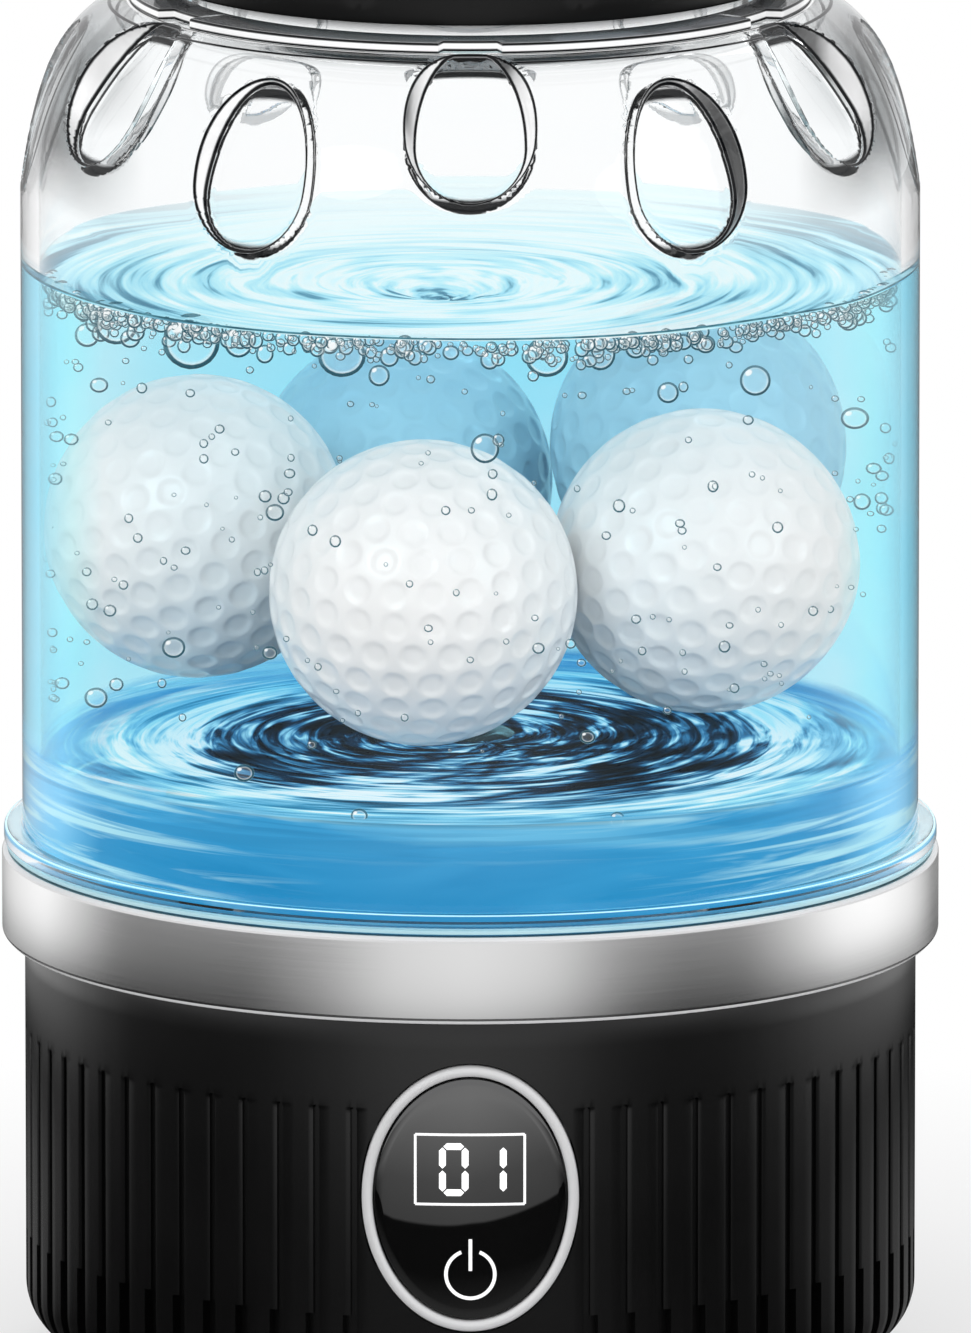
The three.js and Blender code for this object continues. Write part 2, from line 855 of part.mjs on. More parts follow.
function jar() {
  const wall_spread = egg_wall / 2;
  const bulges = egg_plugs(wall_spread, egg_depth + egg_wall, egg_inner_points);
  return jar_outside()
    .subtract(jar_hollow().subtract(bulges))
    .subtract(egg_plugs(0, egg_depth, egg_points));
}

function foot_gasket() {
  const outer = flange_radius - fit_gap;
  return tube(outer, outer - gasket_width, gasket_bottom, gasket_bottom + gasket_thickness, hidden_sides);
}

// Jar floor with its hub and lugs
function jar_floor() {
  const seal_bottom = floor_top - hub_seal_height - fit_gap;
  const bush_top = seal_bottom - bush_shoulder;
  const outline = [
    [bush_seat_radius, hub_bottom],
    [hub_radius, hub_bottom],
    [hub_radius, floor_bottom],
    [floor_radius, floor_bottom],
    [floor_radius, floor_top],
    [hub_seal_radius + fit_gap, floor_top],
    [hub_seal_radius + fit_gap, seal_bottom],
    [shoulder_radius, seal_bottom],
    [shoulder_radius, bush_top],
    [bush_seat_radius, bush_top],
  ];
  const lugs = lug_list().map((i) =>
    lug_block(i, 0, floor_bottom - lug_length, floor_bottom + floor_thickness / 2),
  );
  return join([revolve(outline, hidden_sides), ...lugs]);
}

function hub_bush() {
  const top = floor_top - hub_seal_height - fit_gap - bush_shoulder - fit_gap;
  return tube(bush_radius, running_radius, hub_bottom + fit_gap, top, pin_sides);
}

function hub_seal() {
  return tube(hub_seal_radius, running_radius, floor_top - hub_seal_height, floor_top, pin_sides);
}

// Impeller
function vane_shape(index) {
  const first = impeller_hub_radius - vane_thickness;
  const last = impeller_radius - vane_inset;
  const left = [];
  const right = [];
  for (let i = 0; i <= vane_steps; i++) {
    const share = i / vane_steps;
    const radius = first + (last - first) * share;
    const angle = (index / vane_count) * whole_turn + radians(vane_sweep_degrees) * share;
    const half = Math.asin(vane_thickness / 2 / radius);
    left.push(new THREE.Vector2(...place(radius, angle + half)));
    right.unshift(new THREE.Vector2(...place(radius, angle - half)));
  }
  return new THREE.Shape([...left, ...right]);
}

function impeller() {
  const rim_top = impeller_bottom + impeller_rim;
  const body = revolve(
    [
      [0, impeller_bottom],
      [impeller_radius, impeller_bottom],
      [impeller_radius, rim_top],
      [impeller_hub_radius, rim_top + impeller_cone],
      [impeller_hub_radius, impeller_top - impeller_hub_radius * (1 - impeller_dome_share)],
      [impeller_hub_radius * impeller_dome_share, impeller_top],
      [0, impeller_top],
    ],
    impeller_sides,
  );
  const envelope = revolve(
    [
      [0, impeller_bottom],
      [impeller_radius, impeller_bottom],
      [impeller_radius, rim_top + vane_rim_height],
      [0, rim_top + vane_hub_height],
    ],
    impeller_sides,
  );
  const vanes = [];
  for (let i = 0; i < vane_count; i++) {
    vanes.push(plate(vane_shape(i), impeller_bottom + impeller_rim / 2, impeller_top));
  }
  const bore = tube(running_radius, 0, impeller_bottom - overrun, impeller_top - impeller_roof, pin_sides);
  return body.add(join(vanes).intersect(envelope)).subtract(bore);
}

// Jaw coupling: a disc with jaws that stand up from it.
function jaw_shape(index) {
  const half = whole_turn / jaw_count / 4 - radians(jaw_clearance_degrees) / 2;
  const middle = (index / jaw_count) * whole_turn;
  const outer = [];
  const inner = [];
  for (let i = 0; i <= jaw_steps; i++) {
    const angle = middle - half + (2 * half * i) / jaw_steps;
    outer.push(new THREE.Vector2(...place(dog_radius, angle)));
    inner.unshift(new THREE.Vector2(...place(jaw_inner_radius, angle)));
  }
  return new THREE.Shape([...outer, ...inner]);
}

// Jaws up on the drive side, jaws down on the driven side, half a pitch apart.
function dog(disc_bottom, disc_top, jaw_bottom, jaw_top, shift) {
  const disc = tube(dog_radius, 0, disc_bottom, disc_top, small_sides);
  const jaws = [];
  for (let i = 0; i < jaw_count; i++) {
    jaws.push(plate(jaw_shape(i + shift), jaw_bottom, jaw_top));
  }
  return join([disc, ...jaws]);
}

function drive_dog() {
  const middle = (drive_bottom + drive_top) / 2;
  const form = dog(drive_bottom, drive_top, middle, drive_top + jaw_length, 0);
  return form.subtract(tube(running_radius, 0, drive_bottom - overrun, drive_top - fit_gap * 2, pin_sides));
}

function driven_dog() {
  const middle = (driven_bottom + driven_top) / 2;
  const form = dog(driven_bottom, driven_top, driven_bottom - jaw_length, middle, 1 / 2);
  return form.subtract(tube(running_radius, 0, driven_bottom + fit_gap * 2, driven_top + overrun, pin_sides));
}

// Involute gear outline, with a tooth on the line through angle zero from the front.
function gear_shape(teeth, bore, bore_sides) {
  const pitch = (gear_module * teeth) / 2;
  const base = pitch * Math.cos(radians(pressure_angle_degrees));
  const tip = pitch + gear_module;
  const root = pitch - gear_module * (1 + gear_root_clearance);
  const unwind = (radius) => {
    const roll = Math.sqrt(Math.max((radius / base) ** 2 - 1, 0));
    return roll - Math.atan(roll);
  };
  const half_tooth = Math.PI / 2 / teeth - gear_backlash / 4 / pitch + unwind(pitch);
  const stations = [root, pitch, tip];
  const points = [];
  for (let i = 0; i < teeth; i++) {
    const middle = (i / teeth) * whole_turn;
    const rising = stations.map((r) => place(r, middle - half_tooth + unwind(r)));
    const falling = stations.map((r) => place(r, middle + half_tooth - unwind(r))).reverse();
    points.push(...[...rising, ...falling].map(([x, y]) => new THREE.Vector2(x, y)));
  }
  const shape = new THREE.Shape(points);
  shape.holes.push(disc_shape(bore, bore_sides));
  return shape;
}

function drive_gear() {
  const teeth = plate(gear_shape(gear_teeth, running_radius, pin_sides), gear_bottom, gear_top);
  const pocket_outer = gear_radius - gear_module * (1 + gear_root_clearance) - gear_rim;
  const pocket_depth = gear_thickness - gear_web_thickness;
  const upper = tube(pocket_outer, gear_hub_radius, gear_top - pocket_depth, gear_top + overrun, small_sides);
  const hub = tube(gear_hub_radius, running_radius, gear_top - pocket_depth, gear_hub_top, small_sides);
  return teeth.subtract(upper).add(hub);
}

function drive_shaft() {
  return tube(shaft_radius, 0, plate_boss_bottom, drive_top - fit_gap * 3, pin_sides);
}

function upper_bush() {
  return tube(bush_radius, running_radius, boss_bottom, well_bottom - bush_shoulder - fit_gap, pin_sides);
}

function lower_bush() {
  return tube(bush_radius, running_radius, plate_boss_bottom + bush_shoulder + fit_gap, plate_top, pin_sides);
}

function shaft_seal() {
  const bottom = well_bottom + fit_gap;
  return tube(running_radius + shaft_seal_width, running_radius, bottom, bottom + shaft_seal_height, pin_sides);
}

// Bracket that hangs from the deck and carries the motor and the lower bush
function column_places() {
  return [
    [column_side_reach, -column_side_setback],
    [-column_side_reach, -column_side_setback],
    [0, column_back_reach],
  ];
}

function gear_plate() {
  const [right, left, back] = column_places();
  const arm = bar_shape(left, right, plate_arm_width, plate_end_steps);
  const spine = bar_shape([0, 0], back, plate_spine_width, plate_end_steps);
  const boss = disc_shape(plate_boss_radius, small_sides);
  const columns = column_places().map(([x, y]) =>
    plate(disc_shape(column_radius, pin_sides), plate_top - plate_thickness / 2, deck_bottom - fit_gap, x, y),
  );
  const body = join([
    plate(arm, plate_bottom, plate_top),
    plate(spine, plate_bottom, plate_top),
    plate(boss, plate_boss_bottom, plate_top),
    ...columns,
  ]);
  const bush_seat = tube(bush_seat_radius, 0, plate_boss_bottom + bush_shoulder, plate_top + overrun, small_sides);
  const shaft_hole = tube(shoulder_radius, 0, plate_boss_bottom - overrun, plate_top, small_sides);
  const motor_hole = disc_shape(motor_shaft_radius + turn_gap, pin_sides);
  return body
    .subtract(bush_seat)
    .subtract(shaft_hole)
    .subtract(plate(motor_hole, plate_bottom - overrun, plate_top + overrun, 0, centre_distance));
}

// Motor, drawn about its own axis
function motor_can() {
  const outline = [
    [motor_shaft_radius + fit_gap, motor_bottom - motor_tail_length],
    [motor_tail_radius, motor_bottom - motor_tail_length],
    [motor_tail_radius, motor_bottom],
    [motor_radius - motor_bevel, motor_bottom],
    [motor_radius, motor_bottom + motor_bevel],
    [motor_radius, motor_top - motor_bevel],
    [motor_radius - motor_bevel, motor_top],
    [motor_shaft_radius + fit_gap, motor_top],
  ];
  const flat = motor_radius * motor_flat_share;
  const sides = block(
    [-flat, -motor_radius - overrun, motor_bottom - motor_tail_length - overrun],
    [flat, motor_radius + overrun, motor_top + overrun],
  );
  return revolve(outline, small_sides).intersect(sides);
}

function motor_shaft() {
  const bottom = motor_bottom - motor_tail_length + fit_gap;
  return tube(motor_shaft_radius, 0, bottom, pinion_top() + motor_shaft_overhang, pin_sides);
}

const pinion_bottom = () => gear_bottom + (gear_thickness - pinion_thickness) / 2;
const pinion_top = () => pinion_bottom() + pinion_thickness;

// The pinion's gap faces the gear's tooth, half a tooth pitch from its own first tooth.
function motor_pinion() {
  const bore = motor_shaft_radius + fit_gap;
  const form = plate(gear_shape(pinion_teeth, bore, pin_sides), pinion_bottom(), pinion_top());
  return form.rotate([0, 0, THREE.MathUtils.radToDeg(Math.PI / pinion_teeth)]);
}

// Battery cell, lying along X about its own axis
function battery() {
  const end = cell_length - cell_button_height;
  const outline = [
    [0, 0],
    [cell_radius, 0],
    [cell_radius, end],
    [cell_button_radius, end],
    [cell_button_radius, cell_length],
    [0, cell_length],
  ];
  return revolve(outline, small_sides);
}

const cradle_bottom = () => ledge_top + fit_gap;
const cell_level = (index) => {
  const lowest = cradle_bottom() + cradle_floor + fit_gap + cell_radius;
  return lowest + index * (2 * cell_radius + fit_gap);
};

function battery_cradle() {
  const inside = cell_length / 2 + fit_gap;
  const near = -cell_setback - cradle_width / 2;
  const far = -cell_setback + cradle_width / 2;
  const floor_level = cradle_bottom() + cradle_floor;
  const wall_top = floor_level + 4 * cell_radius * cradle_rise_share;
  return join([
    block([-inside - cradle_wall, near, cradle_bottom()], [inside + cradle_wall, far, floor_level]),
    block([-inside - cradle_wall, near, cradle_bottom()], [-inside, far, wall_top]),
    block([inside, near, cradle_bottom()], [inside + cradle_wall, far, wall_top]),
  ]);
}

// Main board with the inlet at the back
const board_bottom = () => inlet_middle - inlet_height / 2 - fit_gap - board_thickness;

function main_board() {
  const middle = board_middle();
  return block(
    [-board_width / 2, middle - board_depth / 2, board_bottom()],
    [board_width / 2, middle + board_depth / 2, board_bottom() + board_thickness],
  );
}

function usb_socket() {
  const face = housing_inner * Math.cos(Math.PI / hidden_sides) - inlet_wall_gap;
  const half_width = inlet_width / 2;
  const half_height = inlet_height / 2;
  const back = face - inlet_length;
  const body = block([-half_width, back, inlet_middle - half_height], [half_width, face, inlet_middle + half_height]);
  const bore = block(
    [inlet_shell - half_width, face - inlet_bore_depth, inlet_middle - half_height + inlet_shell],
    [half_width - inlet_shell, face + overrun, inlet_middle + half_height - inlet_shell],
  );
  const tongue_half = half_width * (1 - 2 * inlet_shell / half_height);
  const tongue = block(
    [-tongue_half, face - inlet_length / 2 - inlet_bore_depth / 2, inlet_middle - inlet_tongue / 2],
    [tongue_half, face - inlet_shell * 2, inlet_middle + inlet_tongue / 2],
  );
  return body.subtract(bore).add(tongue);
}

function port_cover() {
  const flap = block(
    [-flap_width / 2, housing_radius - flap_thickness, inlet_middle - flap_height / 2],
    [flap_width / 2, housing_radius + overrun, inlet_middle + flap_height / 2],
  );
  const wide = inlet_width / 2 - flap_plug_inset;
  const high = inlet_height / 2 - flap_plug_inset;
  const plug = block(
    [-wide, housing_radius - flap_thickness - flap_plug_length, inlet_middle - high],
    [wide, housing_radius - flap_thickness / 2, inlet_middle + high],
  );
  return flap.intersect(housing_core(housing_radius)).add(plug);
}

// Lid
function lid_cap() {
  const inner = lid_radius - lid_wall;
  const body = revolve(
    [
      [0, lid_ceiling],
      [inner, lid_ceiling],
      [inner, lid_bottom],
      [lid_radius, lid_bottom],
      [lid_radius, lid_top - lid_bevel],
      [lid_radius - lid_bevel, lid_top],
      [0, lid_top],
    ],
    lid_sides,
    Math.PI / lid_sides,
  );
  const facet = lid_radius * Math.cos(Math.PI / lid_sides);
  const flutes = [];
  for (let i = 0; i < lid_flutes; i++) {
    const [x, y] = place(facet + lid_flute_radius - lid_flute_depth, (i / lid_flutes) * whole_turn);
    const shape = disc_shape(lid_flute_radius, lid_flute_sides);
    flutes.push(plate(shape, lid_bottom + lid_band, lid_top + overrun, x, y));
  }
  return body.subtract(join(flutes));
}

// The seal disc lies on the neck, with a lip that centres it in the mouth.
function lid_liner() {
  const outer = lid_radius - lid_wall - fit_gap * 2;
  const lip_outer = neck_inner - fit_gap;
  const lip_inner = lip_outer - liner_lip_width;
  const outline = [
    [0, liner_bottom],
    [lip_inner, liner_bottom],
    [lip_inner, liner_bottom - liner_lip],
    [lip_outer, liner_bottom - liner_lip],
    [lip_outer, liner_bottom],
    [outer, liner_bottom],
    [outer, liner_top],
    [0, liner_top],
  ];
  return revolve(outline, hidden_sides);
}

const black_plastic = () => finish(0x1b1b1c, 0.38, 0);
const gloss_black = () => finish(0x070708, 0.06, 0);
const satin_metal = () => finish(0xb9bbbd, 0.32, 1);
const clear_plastic = () => finish(0xeef6fa, 0.04, 0, 0.3);
const dark_rubber = () => finish(0x151515, 0.8, 0);
const white_plastic = () => finish(0xe8e8e4, 0.5, 0);
const steel = () => finish(0xc4c6c8, 0.25, 1);
const bronze = () => finish(0xa87b45, 0.45, 1);
const green_board = () => finish(0x1f5a35, 0.5, 0);
const cell_wrap = () => finish(0x2b62a8, 0.35, 0);

function group_of(...members) {
  const group = new THREE.Group();
  group.add(...members);
  return group;
}

// Base with what it holds
function base_group() {
  const base = group_of(
    piece("base_shell", base_shell(), black_plastic()),
    piece("bottom_cover", bottom_cover(), black_plastic()),
    piece("panel_bezel", panel_bezel(), satin_metal()),
    piece("panel_lens", panel_lens(), gloss_black()),
    piece("display_board", display_board(), green_board()),
    piece("display_module", display_module(), gloss_black()),
    piece("touch_pad", touch_pad(), steel()),
    piece("trim_ring", trim_ring(), satin_metal()),
    piece("top_deck", top_deck(), black_plastic()),
    piece("coupling_cup", coupling_cup(), black_plastic()),
    piece("shaft_seal", shaft_seal(), dark_rubber()),
    piece("upper_bush", upper_bush(), bronze()),
    piece("lower_bush", lower_bush(), bronze()),
    piece("gear_plate", gear_plate(), white_plastic()),
    piece("battery_cradle", battery_cradle(), black_plastic()),
    piece("main_board", main_board(), green_board()),
    piece("usb_socket", usb_socket(), steel()),
  );
  foot_places().forEach(([x, y], i) => {
    const mesh = piece("foot_" + (i + 1), foot(), dark_rubber());
    mesh.position.set(x, y, 0);
    base.add(mesh);
  });
  for (const index of [0, 1]) {
    const mesh = piece("battery_" + (index + 1), battery(), cell_wrap());
    mesh.rotation.y = Math.PI / 2;
    mesh.position.set(-cell_length / 2, -cell_setback, cell_level(index));
    base.add(mesh);
  }
  const can = piece("motor_can", motor_can(), steel());
  can.position.y = centre_distance;
  base.add(can);
  return base;
}

function rotor_group() {
  const rotor = group_of(
    piece("motor_shaft", motor_shaft(), steel()),
    piece("motor_pinion", motor_pinion(), bronze()),
  );
  rotor.position.y = centre_distance;
  return rotor;
}

function drive_group() {
  return group_of(
    piece("drive_gear", drive_gear(), white_plastic()),
    piece("drive_shaft", drive_shaft(), steel()),
    piece("drive_dog", drive_dog(), black_plastic()),
  );
}

function impeller_shaft() {
  return tube(shaft_radius, 0, driven_bottom + fit_gap * 3, impeller_top - impeller_roof - fit_gap, pin_sides);
}

function jar_group() {
  return group_of(
    piece("jar", jar(), clear_plastic()),
    piece("foot_gasket", foot_gasket(), dark_rubber()),
    piece("jar_floor", jar_floor(), clear_plastic()),
    piece("hub_bush", hub_bush(), bronze()),
    piece("hub_seal", hub_seal(), dark_rubber()),
  );
}

function impeller_group() {
  return group_of(
    piece("impeller", impeller(), black_plastic()),
    piece("impeller_shaft", impeller_shaft(), steel()),
    piece("driven_dog", driven_dog(), black_plastic()),
  );
}

const washer = group_of(
  base_group(),
  rotor_group(),
  drive_group(),
  jar_group(),
  impeller_group(),
  piece("lid_liner", lid_liner(), white_plastic()),
  piece("lid_cap", lid_cap(), black_plastic()),
  piece("port_cover", port_cover(), dark_rubber()),
);

export default washer;
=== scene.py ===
# Looks of a golf ball washer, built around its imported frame.
# Lengths are millimetres until mesh_piece() makes metres of them. In the node trees they are metres.
import math
import random

import bmesh
import bpy
import numpy as np
from mathutils import Matrix, Vector


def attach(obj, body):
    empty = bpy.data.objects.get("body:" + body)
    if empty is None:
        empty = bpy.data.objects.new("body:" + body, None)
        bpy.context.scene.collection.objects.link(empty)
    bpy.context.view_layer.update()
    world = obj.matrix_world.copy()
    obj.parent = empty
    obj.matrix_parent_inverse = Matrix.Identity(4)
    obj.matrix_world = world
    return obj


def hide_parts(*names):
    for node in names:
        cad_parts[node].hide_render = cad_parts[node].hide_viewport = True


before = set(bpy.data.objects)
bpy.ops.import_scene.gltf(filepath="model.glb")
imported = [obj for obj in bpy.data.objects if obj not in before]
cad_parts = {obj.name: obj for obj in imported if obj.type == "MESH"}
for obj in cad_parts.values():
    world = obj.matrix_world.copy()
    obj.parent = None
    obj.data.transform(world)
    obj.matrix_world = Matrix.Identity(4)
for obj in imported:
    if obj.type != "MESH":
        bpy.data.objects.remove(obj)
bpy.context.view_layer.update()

MM = 0.001
TURN = 2 * math.pi

# Sizes that repeat the source's
HOUSING_R, HOUSING_LOW, HOUSING_HIGH, HOUSING_INNER = 62.8, 2.0, 60.0, 60.3
CORNER, COVER_R, COVER_SEAT, OPENING_R, HOUSING_FLOOR = 8.0, 52.0, 4.6, 49.0, 6.6
PLACES, FREE_PLACES = 72, 2
GROOVE_HALF, GROOVE_DEPTH, GROOVE_TOP = 0.45, 0.6, 47.3
SLOT_FAR, SLOT_DEPTH, SLOT_TOP = 1.55, 1.6, 17.6
PANEL_A, PANEL_B, PANEL_Z = 15.1, 18.85, 34.8
BEZEL_WIDTH, GAP = 1.5, 0.3
PANEL_FLOOR_R, PANEL_BACK_R, LENS_R, BEZEL_R = 61.2, 61.5, 63.2, 63.6
PANEL_SIDES = 160
INLET_Z, INLET_WIDE, INLET_HIGH = 17.5, 9.6, 3.8
FLAP_WIDE, FLAP_HIGH, FLAP_THICK = 15.4, 10.4, 1.1
RING_R, RING_LOW, RING_HIGH, RING_INNER = 66.0, 60.0, 72.4, 64.6
RING_TOP_WIDE, RING_TOP_THICK = 3.8, 1.2
GASKET_IN, GASKET_OUT, GASKET_LOW, GASKET_HIGH = 62.8, 65.4, 72.7, 73.3
JAR_LOW, FLANGE_TOP, FLANGE_R, JAR_R, JAR_INNER = 73.6, 75.5, 65.7, 63.1, 60.5
DOME_LOW, DOME_HEIGHT, DOME_REACH, DOME_TOP_R = 165.6, 27.9, 16.3, 46.8
WALL = 2.6
COLLAR_R, COLLAR_TOP, NECK_R, NECK_INNER, NECK_TOP = 47.8, 195.0, 41.0, 38.5, 216.2
FLOOR_LOW, FLOOR_TOP, FLOOR_R = 74.0, 76.5, 61.1
LID_R, LID_LOW, LID_TOP, LID_INNER, LID_CEILING = 44.7, 196.9, 220.8, 42.5, 218.4
WATER_LEVEL = 155.5
BALL_R = 21.335


# Nodes
class Value:
    """A node's output, which takes part in sums."""

    def __init__(self, tree, socket):
        self.tree, self.socket = tree, socket

    def __add__(self, other):
        return self.tree.math("ADD", self, other)

    def __sub__(self, other):
        return self.tree.math("SUBTRACT", self, other)

    def __rsub__(self, other):
        return self.tree.math("SUBTRACT", other, self)

    def __mul__(self, other):
        return self.tree.math("MULTIPLY", self, other)

    def __abs__(self):
        return self.tree.math("ABSOLUTE", self)


class Node:
    """A node whose outputs are had by name or number."""

    def __init__(self, tree, node):
        self.tree, self.node = tree, node

    def __getitem__(self, key):
        return Value(self.tree, self.node.outputs[key])


class Tree:
    """Short calls for the nodes of a material or the world."""

    def __init__(self, owner):
        owner.use_nodes = True
        self.owner, self.tree = owner, owner.node_tree
        self.tree.nodes.clear()

    def add(self, kind, inputs=None, **settings):
        node = self.tree.nodes.new("ShaderNode" + kind)
        for key, value in settings.items():
            setattr(node, key, value)
        for key, value in (inputs or {}).items():
            if isinstance(value, Value):
                self.tree.links.new(value.socket, node.inputs[key])
            else:
                rgb = isinstance(value, tuple) and node.inputs[key].type == "RGBA" and len(value) == 3
                node.inputs[key].default_value = (*value, 1.0) if rgb else value
        return Node(self, node)

    def math(self, operation, a, b=None):
        values = {0: a} if b is None else {0: a, 1: b}
        return self.add("Math", values, operation=operation)[0]

    def most(self, a, b):
        return self.math("MAXIMUM", a, b)

    def noise(self, vector, scale, detail=2.0, roughness=0.5, distortion=0.0):
        inputs = {"Scale": scale, "Detail": detail, "Roughness": roughness, "Distortion": distortion}
        return self.add("TexNoise", {"Vector": vector, **inputs})[0]

    def ramp(self, factor, stops):
        """Colours by factor. Each stop is a place and a colour, or a number for a grey."""
        made = self.add("ValToRGB", {"Fac": factor})
        elements = made.node.color_ramp.elements
        while len(elements) < len(stops):
            elements.new(1.0)
        for element, (position, colour) in zip(elements, stops):
            element.position = position
            element.color = (*colour, 1.0) if isinstance(colour, tuple) else (colour, colour, colour, 1.0)
        return made["Color"]

    def between(self, factor, first, second):
        """A colour that goes from the first to the second over the middle of a noise."""
        return self.ramp(factor, [(0.3, first), (0.7, second)])

    def scale_range(self, value, low, high, from_low=0.0, from_high=1.0, **settings):
        inputs = {
            "Value": value, "From Min": from_low, "From Max": from_high, "To Min": low, "To Max": high
        }
        return self.add("MapRange", inputs, **settings)[0]

    def rise(self, value, start, end):
        """0 up to the start, 1 from the end on."""
        return self.scale_range(value, 0.0, 1.0, start, end)

    def bump(self, height, strength, distance):
        return self.add("Bump", {"Height": height, "Strength": strength, "Distance": distance})[0]

    def object_coordinates(self):
        return self.add("TexCoord")["Object"]

    def split(self, vector):
        return self.add("SeparateXYZ", {0: vector})

    def mark(self, attribute):
        return self.add("Attribute", attribute_name=attribute)["Fac"]

    def facing(self):
        return self.add("LayerWeight", {"Blend": 0.5})["Facing"]

    def mix(self, share, first, second):
        return self.add("MixRGB", {0: share, 1: first, 2: second})[0]

    def mix_shaders(self, share, first, second):
        return self.add("MixShader", {0: share, 1: first, 2: second})[0]

    def emission(self, colour, strength=1.0):
        return self.add("Emission", {"Color": colour, "Strength": strength})[0]

    def transparent(self, colour):
        return self.add("BsdfTransparent", {"Color": colour})[0]

    def principled(self, inputs):
        return self.add("BsdfPrincipled", inputs)[0]

    def finish(self, result, kind="OutputMaterial", socket="Surface"):
        self.add(kind, {socket: result})
        return self.owner


WHITE, DARK = (1.0, 1.0, 1.0), (0.0, 0.0, 0.0)


def new_tree(name):
    return Tree(bpy.data.materials.new(name))


def stretched(tree, coordinates, scale):
    return tree.add("Mapping", {"Vector": coordinates, "Scale": scale})[0]


def moulded(name, dark, light, rough, grain=1800.0, depth=0.03, **constants):
    """Moulded plastic, rubber or nylon: a faint cloud in the colour, fine grain in gloss and surface."""
    t = new_tree(name)
    at = t.object_coordinates()
    clouds = t.noise(at, 45.0, 4.0, 0.6)
    fine = t.noise(at, grain, 3.0, 0.6)
    inputs = {
        "Base Color": t.between(clouds, dark, light),
        "Roughness": t.scale_range(clouds * 0.5 + fine * 0.5, *rough, 0.3, 0.7),
        "Normal": t.bump(fine, 0.35, depth * MM),
        **constants,
    }
    return t.finish(t.principled(inputs))


def turned_metal(name, dark, light, rough, streak=0.5):
    """Metal with fine streaks round the Z axis."""
    t = new_tree(name)
    at = t.object_coordinates()
    split = t.split(at)
    turn = t.math("ARCTAN2", split["X"], split["Y"])
    reach = t.math("SQRT", split["X"] * split["X"] + split["Y"] * split["Y"])
    fine, slow = 4200.0, 2.0
    vector = t.add("CombineXYZ", {0: turn * slow, 1: split["Z"] * fine, 2: reach * fine})[0]
    streaks = t.noise(vector, 1.0, 5.0, 0.6)
    clouds = t.noise(at, 35.0, 3.0)
    both = streaks * 0.6 + clouds * 0.4
    inputs = {
        "Base Color": t.between(both, dark, light),
        "Metallic": 1.0,
        "Roughness": t.scale_range(both, *rough, 0.3, 0.7),
        "Normal": t.bump(streaks, streak, 0.004 * MM),
    }
    return t.finish(t.principled(inputs))


def seen_rays(tree):
    """1 for rays that show a thing, 0 for those that only light others."""
    rays = tree.add("LightPath")
    hidden = tree.most(rays["Is Shadow Ray"], tree.math("MINIMUM", rays["Diffuse Depth"], 1.0))
    return 1.0 - hidden


def lamps_pass(tree, shader, tint):
    """The shader, which lets the lamps' light through in that tint."""
    clear = tree.transparent(tint)
    shadow = tree.add("LightPath")["Is Shadow Ray"]
    return tree.mix_shaders(shadow, shader, clear)


def line_factor(tree, attribute, half_width):
    """1 on the line where a vertex attribute, a distance in millimetres, is zero."""
    away = abs(tree.mark(attribute))
    inside, outside = half_width * 0.6, half_width * 1.4
    return tree.scale_range(away, 1.0, 0.0, inside, outside, interpolation_type="SMOOTHSTEP")


def jar_painted_light(t, at, colour):
    """The jar's colour with bands and lines on its rims, how much of it they cover, and their light. All of
    it is painted light and shade: dark lines and black, grey and white bands where the glass's edges are, a
    painted dark reflection on the dome's sides, a dark collar top and a painted highlight on the flange, with
    the pale bands and the highlight glowing.
    """
    split = t.split(at)
    outer, inner, collar, ledge = (t.mark(key) for key in ("outer_rim", "inner_rim", "collar", "ledge"))
    # Noise that breaks the painted bands and the dome's painted dark reflection into patches.
    patches = t.noise(at, 42.0, 2.0, 0.4)
    # The painted lines and bands are weaker behind the jar's middle.
    near = t.scale_range(split["Y"], 1.0, 0.4, 0.0, 0.014)
    # Painted dark reflection on the dome's sides near the collar, outside the recesses.
    beside = t.scale_range(abs(split["X"]), 0.0, 0.8, 0.045, 0.054)
    above = t.rise(split["Z"], 0.167, 0.176)
    shade = beside * above * t.math("LESS_THAN", outer, 0.0)
    painted_dark_reflection = t.ramp(patches, [(0.36, 0.10), (0.50, (0.26, 0.29, 0.30)), (0.64, (0.50, 0.55, 0.56))])
    colour = t.mix(shade, colour, painted_dark_reflection)
    # The recesses' walls and the collar's side are painted in black, grey and white bands, painted shade and
    # light.
    walls = t.most(t.scale_range(t.math("MINIMUM", outer, inner), 0.0, 0.9, 0.05, 0.25), collar * 0.9)
    walls = walls * near
    bright = patches + collar * 0.2
    shades = t.ramp(bright, [(0.38, 0.008), (0.43, 0.06), (0.47, 0.30), (0.54, 0.45)])
    colour = t.mix(walls, colour, shades)
    # Painted shade: the collar's top face goes dark.
    ledge = ledge * 0.8
    stops = [(0.44, (0.008, 0.009, 0.013)), (0.56, (0.03, 0.033, 0.045)), (0.60, (0.20, 0.22, 0.26))]
    dark = t.ramp(patches, stops)
    colour = t.mix(ledge, colour, dark)
    # Painted shade: dark lines along the rims and the collar's edges.
    lines = t.most(line_factor(t, "outer_rim", 0.19), line_factor(t, "inner_rim", 0.20))
    lines = t.most(lines, line_factor(t, "edge", 0.26)) * near
    colour = t.mix(lines, colour, (0.003, 0.004, 0.005))
    # Painted highlight: a pale line along the flange's corners, which also glows.
    painted_highlight = line_factor(t, "painted_highlight", 0.17)
    colour = t.mix(painted_highlight, colour, (0.62, 0.90, 1.0))
    cover = t.most(t.most(lines, painted_highlight), t.most(walls, ledge))
    # The pale bands glow, painted light.
    light = t.ramp(bright, [(0.38, 0.0), (0.43, 0.05), (0.47, 0.40), (0.54, 0.66)])
    lit = walls * (1.0 - lines)
    light = t.mix(lit, DARK, light)
    light = t.mix(painted_highlight * 0.8, light, (0.30, 0.62, 0.72))
    return colour, cover, light


